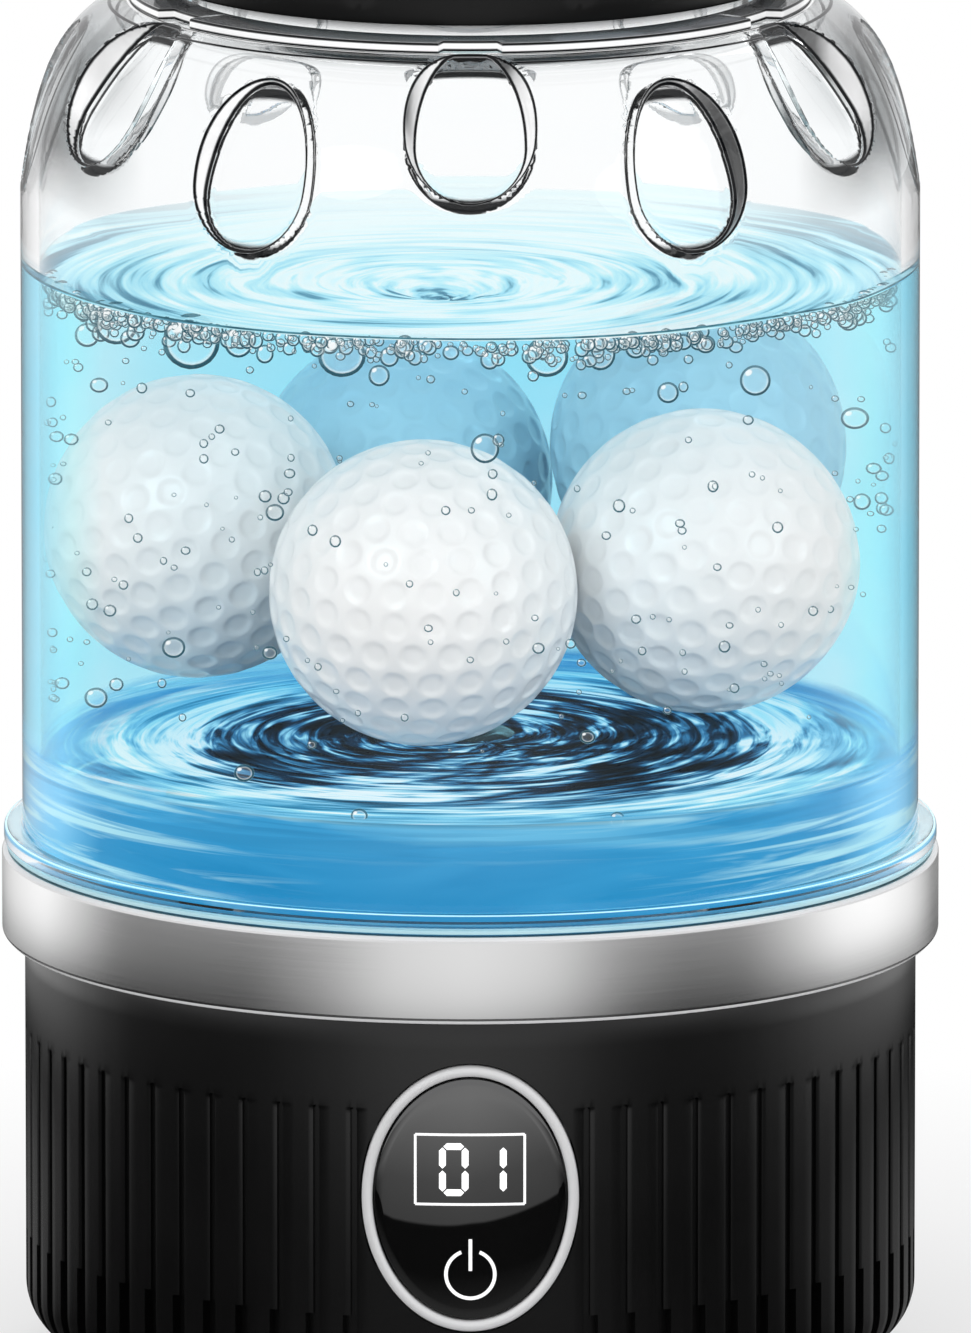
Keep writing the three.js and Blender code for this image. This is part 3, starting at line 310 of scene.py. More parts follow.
def clear_plastic(name, rims=False):
    """Clear polished plastic, darker where it is seen edge on, a painted shade for the dark edges of the
    glass. With rims, the jar's painted light covers it.
    """
    t = new_tree(name)
    at = t.object_coordinates()
    # Painted shade: the colour darkens where the surface is seen edge on.
    stops = [(0.0, (0.992, 0.996, 0.998)), (0.7, (0.97, 0.98, 0.985)), (0.9, 0.6), (1.0, 0.3)]
    colour = t.ramp(t.facing(), stops)
    flow = t.noise(at, 26.0, 2.0)
    inputs = {
        "Base Color": colour,
        "Roughness": t.scale_range(t.noise(at, 300.0, 2.0), 0.0, 0.03, 0.3, 0.7),
        "Transmission Weight": 1.0,
        "IOR": 1.3,
        "Normal": t.bump(flow, 0.05, 0.3 * MM),
    }
    # With rims, painted lines, bands and highlights cover the glass where they lie, and the pale ones glow.
    if rims:
        inputs["Base Color"], cover, inputs["Emission Color"] = jar_painted_light(t, at, colour)
        inputs["Transmission Weight"] = 1.0 - cover
        inputs["Emission Strength"] = 1.0
    return t.finish(lamps_pass(t, t.principled(inputs), (0.97, 0.985, 0.99, 1.0)))


BLACK = moulded("black_plastic", 0.0018, 0.003, (0.20, 0.26), grain=2600.0, depth=0.01)
LID_BLACK = moulded(
    "lid_plastic", 0.004, 0.006, (0.30, 0.40), grain=2200.0, depth=0.02,
    **{"Specular IOR Level": 0.2}
)
GLOSS = moulded("gloss_lens", 0.002, 0.003, (0.0, 0.012), grain=900.0, depth=0.0001, IOR=2.2)
SATIN = turned_metal("satin_metal", 0.74, 0.79, (0.20, 0.26), streak=0.16)
# Bright white for the trim ring's bevelled edges, a painted highlight.
EDGE_HIGHLIGHT = moulded("edge_painted_highlight", 0.90, 0.96, (0.2, 0.28), grain=1500.0, depth=0.005)
BEZEL = moulded("satin_bezel", 0.80, 0.88, (0.30, 0.40), depth=0.01, Metallic=0.15)
STEEL = turned_metal("drawn_steel", 0.60, 0.70, (0.22, 0.34))
BRONZE = moulded(
    "sintered_bronze", (0.42, 0.25, 0.10), (0.56, 0.36, 0.16), (0.38, 0.5), grain=2600.0, depth=0.05,
    Metallic=1.0
)
RUBBER = moulded("rubber", 0.013, 0.02, (0.62, 0.78), grain=1500.0, depth=0.05)
ICE = moulded("ice_silicone", (0.50, 0.82, 0.92), (0.62, 0.92, 0.98), (0.35, 0.45), grain=900.0, depth=0.02)
SILICONE = moulded("silicone", 0.62, 0.68, (0.42, 0.52), grain=900.0, depth=0.02)
NYLON = moulded("nylon", (0.66, 0.66, 0.62), (0.74, 0.74, 0.70), (0.40, 0.50), grain=1400.0, depth=0.03)
BOARD = moulded("board", (0.012, 0.075, 0.03), (0.02, 0.11, 0.045), (0.28, 0.4), grain=700.0, depth=0.03)
WRAP = moulded("cell_wrap", (0.03, 0.10, 0.30), (0.04, 0.13, 0.36), (0.22, 0.32), grain=500.0, depth=0.01)
CLEAR = clear_plastic("clear_plastic")
CLEAR_JAR = clear_plastic("clear_jar", rims=True)


# Mesh helpers
def mesh_piece(
    name, points, faces, material, body=None, cad=(), slot=None, sharp=32.0, attributes=None, paint=None
):
    """An object from points in millimetres, smooth but for edges sharper than an angle, riding on a body.

    paint is a second material and a test of a face's middle, in millimetres, for the faces that get it.
    """
    mesh = bpy.data.meshes.new(name)
    mesh.from_pydata((np.asarray(points, float) * MM).tolist(), [], faces)
    form = bmesh.new()
    form.from_mesh(mesh)
    bmesh.ops.recalc_face_normals(form, faces=form.faces)
    if form.calc_volume(signed=True) < 0:
        bmesh.ops.reverse_faces(form, faces=form.faces)
    form.to_mesh(mesh)
    form.free()
    for key, values in (attributes or {}).items():
        layer = mesh.attributes.new(key, "FLOAT", "POINT")
        layer.data.foreach_set("value", np.asarray(values, np.float32))
    mesh.shade_smooth()
    mesh.set_sharp_from_angle(angle=math.radians(sharp))
    mesh.materials.append(material)
    if paint:
        mesh.materials.append(paint[0])
        for face in mesh.polygons:
            face.material_index = int(paint[1](face.center / MM))
    made = new_object(name, mesh)
    if body:
        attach(made, body)
    if cad:
        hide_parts(*cad)
    return made


def form_parts(form):
    """Points and faces of a bmesh, which is freed."""
    form.verts.ensure_lookup_table()
    parts = [v.co[:] for v in form.verts], [[v.index for v in f.verts] for f in form.faces]
    form.free()
    return parts


def new_object(name, data):
    made = bpy.data.objects.new(name, data)
    bpy.context.scene.collection.objects.link(made)
    return made


def grid_faces(rows, columns, close_rows=True):
    """Quads of a grid that closes round its columns, and round its rows too unless told not to."""
    faces = []
    for i in range(rows if close_rows else rows - 1):
        a, b = i * columns, (i + 1) % rows * columns
        faces += [(a + j, a + (j + 1) % columns, b + (j + 1) % columns, b + j) for j in range(columns)]
    return faces


class Shape:
    """Points and faces of one piece, added part by part."""

    def __init__(self):
        self.points, self.faces = [], []

    def add(self, points, faces):
        first = len(self.points)
        self.points += [tuple(p) for p in points]
        self.faces += [tuple(first + i for i in face) for face in faces]
        return self

    def turned(self, outline, sides):
        """A closed outline of (radius, height) turned about Z. Points on the axis are shared."""
        points, faces, rings = [], [], []
        for r, z in outline:
            if r < 1e-6:
                rings.append([len(points)])
                points.append((0.0, 0.0, z))
            else:
                rings.append(list(range(len(points), len(points) + sides)))
                points += [(*at_angle(r, TURN * j / sides), z) for j in range(sides)]
        for a, b in zip(rings, rings[1:] + rings[:1]):
            if len(a) == 1 and len(b) == 1:
                continue
            for j in range(sides):
                k = (j + 1) % sides
                corners = [a[j % len(a)], a[k % len(a)], b[k % len(b)], b[j % len(b)]]
                faces.append(tuple(dict.fromkeys(corners)))
        return self.add(points, faces)

    def block(self, size, middle, fillet, turn=0.0):
        """A box with rounded edges, turned about Z through the origin."""
        form = bmesh.new()
        bmesh.ops.create_cube(form, size=1.0)
        bmesh.ops.scale(form, vec=size, verts=form.verts)
        bmesh.ops.bevel(form, geom=form.edges[:], offset=fillet, segments=3, profile=0.5, affect="EDGES")
        bmesh.ops.translate(form, vec=middle, verts=form.verts)
        bmesh.ops.rotate(form, cent=(0, 0, 0), matrix=Matrix.Rotation(turn, 3, "Z"), verts=form.verts)
        return self.add(*form_parts(form))

    def copied(self, other, x, y):
        """Another shape's points and faces, moved by x and y."""
        return self.add([(px + x, py + y, pz) for px, py, pz in other.points], other.faces)

    def swept(self, sections):
        """A section carried along a path: the list of its places, closed at both ends."""
        size, steps = len(sections[0]), len(sections)
        ends = [tuple(range(size)), tuple(range((steps - 1) * size, steps * size))]
        points = [point for section in sections for point in section]
        return self.add(points, grid_faces(steps, size, close_rows=False) + ends)

    def piece(self, name, material, body=None, **rest):
        return mesh_piece(name, self.points, self.faces, material, body, **rest)


def rounded(outline, steps=4):
    """An outline of (radius, height, cut) with each corner that has a cut rounded over that length."""
    made = []
    count = len(outline)
    for i, corner in enumerate(outline):
        here = np.array(corner[:2], float)
        cut = corner[2] if len(corner) > 2 else 0.0
        if cut <= 0:
            made.append(tuple(here))
            continue
        before, after = np.array(outline[i - 1][:2], float), np.array(outline[(i + 1) % count][:2], float)
        start = here + (before - here) / np.linalg.norm(before - here) * cut
        end = here + (after - here) / np.linalg.norm(after - here) * cut
        for s in np.linspace(0, 1, steps + 1):
            made.append(tuple((1 - s) ** 2 * start + 2 * s * (1 - s) * here + s * s * end))
    return made


def cut_away(target, cutter):
    """Takes the cutter's space out of the target's mesh, and removes the cutter."""
    step = target.modifiers.new("cut", "BOOLEAN")
    step.operation, step.solver, step.object = "DIFFERENCE", "EXACT", cutter
    graph = bpy.context.evaluated_depsgraph_get()
    made = bpy.data.meshes.new_from_object(target.evaluated_get(graph))
    old = target.data
    target.modifiers.clear()
    target.data = made
    bpy.data.meshes.remove(old)
    spare = cutter.data
    bpy.data.objects.remove(cutter)
    bpy.data.meshes.remove(spare)


def at_angle(radius, angle):
    """The point at a radius and an angle from the front, counted towards +X."""
    return radius * math.sin(angle), -radius * math.cos(angle)


# Base shell
EASED = {-0.47: 0.17, 0.47: 0.17}


def rib_columns():
    """Each column's angle round the housing, distance from its groove's middle, and if it has a groove."""
    offsets = (-2.2, -0.84, -0.47, -0.43, -0.22, 0.0, 0.22, 0.43, 0.47, 0.84, 1.2, 1.51, 1.57, 1.9)
    half = PLACES // 2
    columns = []
    for k in range(-half + 1, half + 1):
        side = 1 if k >= 0 else -1
        grooved = FREE_PLACES < abs(k) < half - FREE_PLACES
        columns += [(k * TURN / PLACES + side * s / HOUSING_R, s, grooved) for s in offsets]
    return sorted(columns)


def shell_rows():
    """Outline of the housing: (radius, height, outward direction, share of a slot's depth there)."""
    rows = [(r, HOUSING_LOW, None, 0.0) for r in (COVER_R, COVER_R + 2.4)]
    for i in range(17):
        angle = math.pi / 2 * (1 - i / 16)
        share = min(1.0, max(0.0, (math.radians(78) - angle) / math.radians(14)))
        direction = (math.cos(angle), -math.sin(angle))
        reach = HOUSING_R - CORNER + CORNER * direction[0]
        rows.append((reach, HOUSING_LOW + CORNER + CORNER * direction[1], direction, share))
    heights = [12, 14, 16, *(SLOT_TOP + step for step in (-0.2, -0.05, 0.05, 0.4)), 22, 28, 34, 40, 44]
    heights += [GROOVE_TOP + step for step in (-0.9, -0.46, -0.4, -0.3, -0.2, -0.1, -0.04, 0.04, 1.2)]
    heights += [52, 56, HOUSING_HIGH - 0.6]
    rows += [(HOUSING_R, float(z), (1.0, 0.0), 1.0) for z in heights]
    rows += [(HOUSING_R - 0.1, HOUSING_HIGH - 0.25, None, 0.0), (HOUSING_R - 0.4, HOUSING_HIGH, None, 0.0)]
    inside = [(HOUSING_INNER, HOUSING_HIGH), (HOUSING_INNER, 35.0), (HOUSING_INNER, HOUSING_FLOOR + 2.8)]
    inside += [(HOUSING_INNER - 2.8, HOUSING_FLOOR), (OPENING_R, HOUSING_FLOOR)]
    inside += [(OPENING_R, COVER_SEAT), (COVER_R, COVER_SEAT)]
    return rows + [(r, z, None, 0.0) for r, z in inside]


def base_shell():
    """Ribbed housing with slots round its foot, the panel's seat, the inlet's window and the flap's seat."""
    columns, rows = rib_columns(), shell_rows()
    points = []
    for r, z, direction, share in rows:
        for angle, s, grooved in columns:
            depth = 0.0
            if grooved and direction:
                if z < SLOT_TOP and -GROOVE_HALF < s < SLOT_FAR:
                    depth = SLOT_DEPTH * share
                elif abs(s) < GROOVE_HALF and z < GROOVE_TOP - GROOVE_HALF + math.sqrt(
                    GROOVE_HALF**2 - s * s
                ):
                    depth = GROOVE_DEPTH * share
                else:
                    depth = share * EASED.get(s, 0.0) * min(1.0, max(0.0, (GROOVE_TOP - z) / 0.45))
            reach = r - depth * (direction[0] if direction else 0)
            x, y = at_angle(reach, angle)
            points.append((x, y, z - depth * (direction[1] if direction else 0)))
    shell = mesh_piece(
        "base_shell_ribbed", points, grid_faces(len(rows), len(columns)), BLACK, "base", cad=["base_shell"],
        slot="black_plastic", sharp=40
    )
    seat, around, past = Shape(), 128, 70.0
    for reach in (PANEL_FLOOR_R, past):
        seat.points += [panel_point(PANEL_A + GAP, PANEL_B + GAP, j / around, reach) for j in range(around)]
    seat.points += [(0, -PANEL_FLOOR_R, PANEL_Z), (0, -past, PANEL_Z)]
    for j in range(around):
        k = (j + 1) % around
        seat.faces += [(j, k, around + k, around + j), (j, k, 2 * around)]
        seat.faces.append((around + j, around + k, 2 * around + 1))
    cut_away(shell, seat.piece("panel_seat_cutter", BLACK))
    window = Shape().block((INLET_WIDE, 12.0, INLET_HIGH), (0, 60.0, INLET_Z), 0.4)
    cut_away(shell, window.piece("inlet_cutter", BLACK))
    recess_size = (FLAP_WIDE + 2 * GAP, 6.0, FLAP_HIGH + 2 * GAP)
    recess = Shape().block(recess_size, (0, HOUSING_R - FLAP_THICK - GAP + 3.0, INLET_Z), 0.5)
    cut_away(shell, recess.piece("flap_cutter", BLACK))
    shell.data.shade_smooth()
    shell.data.set_sharp_from_angle(angle=math.radians(40))
    return shell


POST_R, POST_REACH, POST_LOW, POST_HIGH, POST_HOLE = 4.5, 52.0, 5.6, 54.0, 1.35
POST_ANGLES = (60, 120, -60, -120)
WEB_REACH, WEB_LONG, WEB_THICK = 58.2, 6.4, 2.5
RAIL_SIDE, RAIL_REACH, RAIL_SIZE = 12.9, 57.95, (3.0, 3.7, 24.0)


def housing_posts():
    """Four screw posts with webs that tie them to the wall, and two rails that carry the display board."""
    drilled = POST_HIGH - 12.0
    post = Shape().turned(rounded([
        (0.0, POST_LOW), (POST_R, POST_LOW, 0.3), (POST_R, POST_HIGH, 0.5), (POST_HOLE, POST_HIGH, 0.3),
        (POST_HOLE, drilled), (0.0, drilled - 0.8),
    ]), 48)
    shape = Shape()
    web = (WEB_THICK, WEB_LONG, POST_HIGH - POST_LOW - 1.0)
    for degrees in POST_ANGLES:
        angle = math.radians(degrees)
        shape.copied(post, *at_angle(POST_REACH, angle))
        shape.block(web, (0, -WEB_REACH, (POST_LOW + POST_HIGH) / 2), 0.4, angle)
    for side in (-1, 1):
        shape.block(RAIL_SIZE, (side * RAIL_SIDE, -RAIL_REACH, PANEL_Z), 0.5)
    return shape.piece("housing_posts", BLACK, "base", slot="black_plastic", sharp=40)


FOOT_R, FOOT_REACH, FOOT_TOP = 7.0, 42.0, 2.5
TREAD_IN, TREAD_OUT, TREAD_DEPTH, TREAD_SLOPE = 3.6, 4.8, 0.35, 0.2


def feet():
    """Rubber feet with a rounded tread and a shallow ring pressed into it."""
    pad = Shape().turned(rounded([
        (0.0, 0.0), (TREAD_IN, 0.0, 0.15), (TREAD_IN + TREAD_SLOPE, TREAD_DEPTH, 0.15),
        (TREAD_OUT - TREAD_SLOPE, TREAD_DEPTH, 0.15), (TREAD_OUT, 0.0, 0.15),
        (FOOT_R, 0.0, 0.5), (FOOT_R, FOOT_TOP, 0.3), (0.0, FOOT_TOP),
    ]), 72)
    for i in range(4):
        shape = Shape().copied(pad, *at_angle(FOOT_REACH, TURN * (i + 0.5) / 4))
        cad = ["foot_%d" % (i + 1)]
        shape.piece("foot_pad_%d" % (i + 1), RUBBER, "base", cad=cad, slot="rubber", sharp=40)


def port_flap():
    """Rubber flap bent to the housing's side, with its plug and a lip for a fingertip."""
    def reach(edge, axis):
        return abs(getattr(edge.verts[0].co, axis) - getattr(edge.verts[1].co, axis))
    form = bmesh.new()
    bmesh.ops.create_cube(form, size=1.0)
    bmesh.ops.scale(form, vec=(FLAP_WIDE, FLAP_THICK, FLAP_HIGH), verts=form.verts)
    through = [e for e in form.edges if reach(e, "x") < 1e-6 and reach(e, "z") < 1e-6]
    bmesh.ops.bevel(form, geom=through, offset=1.6, segments=6, profile=0.5, affect="EDGES")
    long = [e for e in form.edges if reach(e, "x") > 6]
    bmesh.ops.subdivide_edges(form, edges=long, cuts=18, use_grid_fill=True)
    rim = [e for e in form.edges if len(e.link_faces) == 2 and e.calc_face_angle() > 1.2]
    bmesh.ops.bevel(form, geom=rim, offset=0.22, segments=2, profile=0.5, affect="EDGES")
    shape = Shape().add(*form_parts(form))
    lip, plug = (4.6, 0.9, 0.9), (INLET_WIDE - 1.7, 1.5, INLET_HIGH - 1.7)
    shape.block(lip, (0, lip[1] / 2, FLAP_HIGH / 2 - 1.3), 0.35)
    middle = HOUSING_R - FLAP_THICK / 2
    shape.points = [
        ((middle + y) * math.sin(x / middle), (middle + y) * math.cos(x / middle), INLET_Z + z)
        for x, y, z in shape.points
    ]
    shape.block(plug, (0, HOUSING_R - FLAP_THICK - 0.35, INLET_Z), 0.35)
    return shape.piece("port_flap", RUBBER, "port_cover", cad=["port_cover"], slot="rubber", sharp=40)


# Control panel
def panel_point(a, b, share, radius):
    """Point of an ellipse about the panel's axis, on a cylinder about Z."""
    x, z = a * math.cos(TURN * share), PANEL_Z + b * math.sin(TURN * share)
    return x, -math.sqrt(radius**2 - x * x), z


def panel_bezel():
    """Oval ring with a rounded front."""
    rise = ((0.0, 0.55), (0.12, 0.27), (0.4, 0.08))
    section = [(0.0, PANEL_BACK_R), *((inset, BEZEL_R - drop) for inset, drop in rise)]
    section += [(BEZEL_WIDTH / 2, BEZEL_R)]
    section += [(BEZEL_WIDTH - inset, BEZEL_R - drop) for inset, drop in reversed(rise)]
    section += [(BEZEL_WIDTH, PANEL_BACK_R)]
    points = [
        panel_point(PANEL_A - inset, PANEL_B - inset, j / PANEL_SIDES, radius)
        for inset, radius in section for j in range(PANEL_SIDES)
    ]
    return mesh_piece(
        "panel_bezel_ring", points, grid_faces(len(section), PANEL_SIDES), BEZEL, "base",
        cad=["panel_bezel"], slot="satin_metal", sharp=50
    )


def panel_lens():
    """Glossy oval window with a rounded rim."""
    a, b = PANEL_A - BEZEL_WIDTH - GAP, PANEL_B - BEZEL_WIDTH - GAP
    section = [(i / 12, LENS_R) for i in range(1, 12)]
    section += [(0.985, LENS_R - 0.01), (0.996, LENS_R - 0.08), (1.0, LENS_R - 0.25)]
    section += [(1.0, PANEL_BACK_R), (0.5, PANEL_BACK_R)]
    shape = Shape()
    shape.points = [
        panel_point(a * share, b * share, j / PANEL_SIDES, radius)
        for share, radius in section for j in range(PANEL_SIDES)
    ]
    shape.faces = grid_faces(len(section), PANEL_SIDES, close_rows=False)
    front, back = len(shape.points), len(shape.points) + 1
    shape.points += [(0, -LENS_R, PANEL_Z), (0, -PANEL_BACK_R, PANEL_Z)]
    last = front - PANEL_SIDES
    for j in range(PANEL_SIDES):
        k = (j + 1) % PANEL_SIDES
        shape.faces += [(j, k, front), (last + j, last + k, back)]
    return shape.piece("panel_lens_pane", GLOSS, "base", cad=["panel_lens"], slot="lens")


def glow(name, colour, strength):
    """Paint that shines faintly, for the display and the print."""
    t = new_tree(name)
    speck = t.noise(t.object_coordinates(), 900.0, 2.0)
    inputs = {
        "Base Color": t.between(speck, 0.75, 0.85),
        "Roughness": 0.4,
        "Emission Color": t.between(speck, tuple(c * 0.96 for c in colour), colour),
        "Emission Strength": strength,
    }
    return t.finish(t.principled(inputs))


GLOW = glow("display_light", (1.0, 1.0, 1.0), 0.85)
PRINT = glow("panel_print", (0.95, 0.95, 0.95), 0.55)


def inlay(name, polygons, material):
    """Thin flat marks on the lens, from convex outlines of (x, z) about the panel's axis."""
    shape = Shape()
    for polygon in polygons:
        count = len(polygon)
        points = [
            (x, -math.sqrt(radius**2 - x * x), z)
            for radius in (LENS_R - 0.1, LENS_R + 0.03) for x, z in polygon
        ]
        faces = [(j, (j + 1) % count, count + (j + 1) % count, count + j) for j in range(count)]
        shape.add(points, faces + [tuple(range(count)), tuple(range(count, 2 * count))])
    return shape.piece(name, material, "base", slot="lens")


def bar(x0, z0, x1, z1, width):
    """A straight bar as short convex pieces, so that it can follow the lens."""
    length = math.hypot(x1 - x0, z1 - z0)
    nx, nz = -(z1 - z0) / length * width / 2, (x1 - x0) / length * width / 2
    steps = max(1, round(abs(x1 - x0) / 0.8))
    made = []
    for i in range(steps):
        a, b = i / steps, (i + 1) / steps
        ax, az = x0 + (x1 - x0) * a, z0 + (z1 - z0) * a
        bx, bz = x0 + (x1 - x0) * b, z0 + (z1 - z0) * b
        made.append([(ax + nx, az + nz), (ax - nx, az - nz), (bx - nx, bz - nz), (bx + nx, bz + nz)])
    return made


def digit_segments(x, z, width, height, thick, lit):
    """Seven-segment digit: pointed bars for the lit segments a to g."""
    half, gap = thick / 2, 0.14
    left, right = x - width / 2 + half, x + width / 2 - half
    low, high = z - height / 2 + half, z + height / 2 - half
    ends = {
        "a": (left, high, right, high), "b": (right, high, right, z), "c": (right, z, right, low),
        "d": (left, low, right, low),
        "e": (left, z, left, low), "f": (left, high, left, z), "g": (left, z, right, z),
    }
    made = []
    for key in lit:
        x0, z0, x1, z1 = ends[key]
        length = math.hypot(x1 - x0, z1 - z0)
        ux, uz = (x1 - x0) / length, (z1 - z0) / length
        px, pz = -uz * half, ux * half
        made.append([
            (x0 + ux * gap, z0 + uz * gap), (x0 + ux * (gap + half) + px, z0 + uz * (gap + half) + pz),
            (x1 - ux * (gap + half) + px, z1 - uz * (gap + half) + pz),
            (x1 - ux * gap, z1 - uz * gap), (x1 - ux * (gap + half) - px, z1 - uz * (gap + half) - pz),
            (x0 + ux * (gap + half) - px, z0 + uz * (gap + half) - pz),
        ])
    return made


def panel_marks():
    """The display's frame and digits, and the power sign."""
    left, right, low, high, line = -7.65, 7.55, 34.05, 43.95, 0.36
    corners = ((left, low), (right, low), (right, high), (left, high))
    sides = [piece for a, b in zip(corners, corners[1:] + corners[:1]) for piece in bar(*a, *b, line)]
    inlay("display_frame", sides, PRINT)
    middle, width, height, thick = 39.0, 4.1, 7.5, 0.95
    lit = digit_segments(-2.3, middle, width, height, thick, "abcdef")
    lit += digit_segments(3.0, middle, width, height, thick, "bc")
    inlay("display_digits", lit, GLOW)
    radius, width, level, opening, steps = 3.4, 0.5, 24.1, 22, 36
    sign = bar(0.0, level + 0.5, 0.0, level + 5.0, width)
    for i in range(steps):
        a, b = (math.radians(opening + (360 - 2 * opening) * k / steps) for k in (i, i + 1))
        out, within = radius + width / 2, radius - width / 2
        ring = ((out, a), (out, b), (within, b), (within, a))
        sign.append([(r * math.sin(t), level + r * math.cos(t)) for r, t in ring])
    inlay("power_sign", sign, PRINT)


# Ring, gasket, deck
def trim_ring():
    """Turned ring with bevelled edges, which are painted bright white, a painted highlight."""
    low, high = 0.7, 0.6
    outline = rounded([
        (RING_INNER, RING_LOW), (RING_R - low, RING_LOW, 0.25), (RING_R, RING_LOW + low, 0.3),
        (RING_R, RING_HIGH - high, 0.25), (RING_R - high, RING_HIGH, 0.25),
        (RING_R - RING_TOP_WIDE, RING_HIGH, 0.2), (RING_R - RING_TOP_WIDE, RING_HIGH - RING_TOP_THICK),
        (RING_INNER, RING_HIGH - RING_TOP_THICK),
    ])
    # The outer bevels, which get the painted highlight.
    def bevelled(middle):
        outermost = math.hypot(middle.x, middle.y) > RING_R - 0.66
        return outermost and not RING_LOW + 0.66 < middle.z < RING_HIGH - 0.55
    return Shape().turned(outline, 288).piece(
        "trim_ring_turned", SATIN, "base", cad=["trim_ring"], slot="satin_metal", sharp=25,
        paint=(EDGE_HIGHLIGHT, bevelled)
    )


def foot_gasket():
    """Thin flat seal between the jar's flange and the metal ring."""
    corners = [(r, z) for z in (GASKET_LOW, GASKET_HIGH) for r in (GASKET_IN, GASKET_OUT)]
    outline = rounded([(*corners[i], 0.2) for i in (0, 1, 3, 2)])
    seal = Shape().turned(outline, 240)
    return seal.piece("foot_gasket_seal", ICE, "jar", cad=["foot_gasket"], slot="silicone")


# Jar
EGG_COUNT, EGG_WIDTH, EGG_LENGTH, EGG_DEPTH = 12, 15.4, 23.8, 0.6
EGG_WALL, EGG_DRAFT, EGG_WIDE, EGG_ROUNDING = 2.2, 0.5, 0.36, 0.2
EGG_ENDS = ((0.344, 0.993), (0.054, 0.887))
GATHER, DOME_EVEN, FAR = 0.62, 0.985, 3.0
COLLAR_LOW, UNDER_LEDGE, COLLAR_NOTCH_R, NOTCHES, NOTCH_HALF = 193.5, 192.2, 45.6, 6, 4.2
DOME_EDGE, EDGE_ROWS = 69, 25


def dome_point(share):
    turn = math.asin(share)
    return DOME_TOP_R + DOME_REACH * math.cos(turn), DOME_LOW + DOME_HEIGHT * share


def soft_min(a, b, reach):
    h = np.clip(0.5 + 0.5 * (b - a) / reach, 0, 1)
    return b * (1 - h) + a * h - reach * h * (1 - h)


def dome_radius(level, wall):
    share = np.clip((level - DOME_LOW) / (DOME_HEIGHT - wall), 0.0, 1.0)
    return DOME_TOP_R - wall + DOME_REACH * np.sqrt(1 - share**2)


def towards_rim(gap):
    """How far a point moves so that points near a rim gather on it."""
    return gap * (1 - np.clip(np.abs(gap) / GATHER, 0.0, 1.0) ** 1.5)


def press_eggs(points, outer, inner, spread, depth, reach, draft, wall_inside):
    """Presses egg-shaped recesses into the dome's points, and keeps how far each lies from their rims."""
    width, length = EGG_WIDTH + 2 * spread, EGG_LENGTH + 2 * spread
    middle = EGG_LENGTH * EGG_WIDE
    for index in range(EGG_COUNT):
        low, high = (dome_point(s) for s in EGG_ENDS[index % 2])
        lean = math.atan2(low[0] - high[0], high[1] - low[1])
        s, c = math.sin(lean), math.cos(lean)
        turn = TURN * index / EGG_COUNT
        # In the egg's own frame x runs across it, v up along it from its lower end, and w out of the wall
        x = points[:, 0] * math.cos(turn) + points[:, 1] * math.sin(turn)
        out = -(points[:, 1] * math.cos(turn) - points[:, 0] * math.sin(turn))
        v = -(out - low[0]) * s + (points[:, 2] - low[1]) * c
        w = (out - low[0]) * c + (points[:, 2] - low[1]) * s
        near = (out > 0) & (np.abs(x) < 14) & (v > -7) & (v < 33) & (w > -9)
        for step in range(2):
            across = x[near] / (width / 2)
            above = v[near] - middle
            along = above / np.where(above > 0, length * (1 - EGG_WIDE), length * EGG_WIDE)
            q = np.maximum(np.hypot(across, along), 1e-6)
            size = (width / 2) * (across / q) ** 2 + (length / 2) * (along / q) ** 2
            gap = (q - 1) * size
            if step:
                break
            edge = gap - (w[near] + depth) * draft
            level = points[near, 2]
            radius = dome_radius(level, wall_inside)
            on_dome = np.abs(np.hypot(points[near, 0], points[near, 1]) - radius) < 0.1
            on_dome &= level < DOME_LOW + DOME_EVEN * DOME_HEIGHT
            inner_nearer = (np.abs(gap) < np.abs(edge)) & (edge < 0)
            nearer = np.where(inner_nearer, towards_rim(gap), towards_rim(edge))
            share = 1 - np.where(on_dome, nearer, 0.0) / (q * size)
            x[near] *= share
            level = np.where(on_dome, low[1] + w[near] * s + (middle + above * share) * c, level)
            out[near] = np.where(
                on_dome, np.sqrt(dome_radius(level, wall_inside) ** 2 - x[near] ** 2), out[near]
            )
            v[near] = -(out[near] - low[0]) * s + (level - low[1]) * c
            w[near] = (out[near] - low[0]) * c + (level - low[1]) * s
        wall = gap / draft
        recess = -depth + 0.5 * (wall + np.sqrt(wall**2 + EGG_ROUNDING**2))
        old = w[near]
        new = soft_min(old, recess, reach)
        rise = (old - recess) * draft
        outer[near] = np.maximum(outer[near], np.minimum(rise, FAR))
        inner[near] = np.minimum(inner[near], np.maximum(np.maximum(gap, -rise), -FAR))
        out[near] = low[0] + new * c - v[near] * s
        level = low[1] + new * s + v[near] * c
        points[near, 0] = x[near] * math.cos(turn) + out[near] * math.sin(turn)
        points[near, 1] = x[near] * math.sin(turn) - out[near] * math.cos(turn)
        points[near, 2] = level
    return points


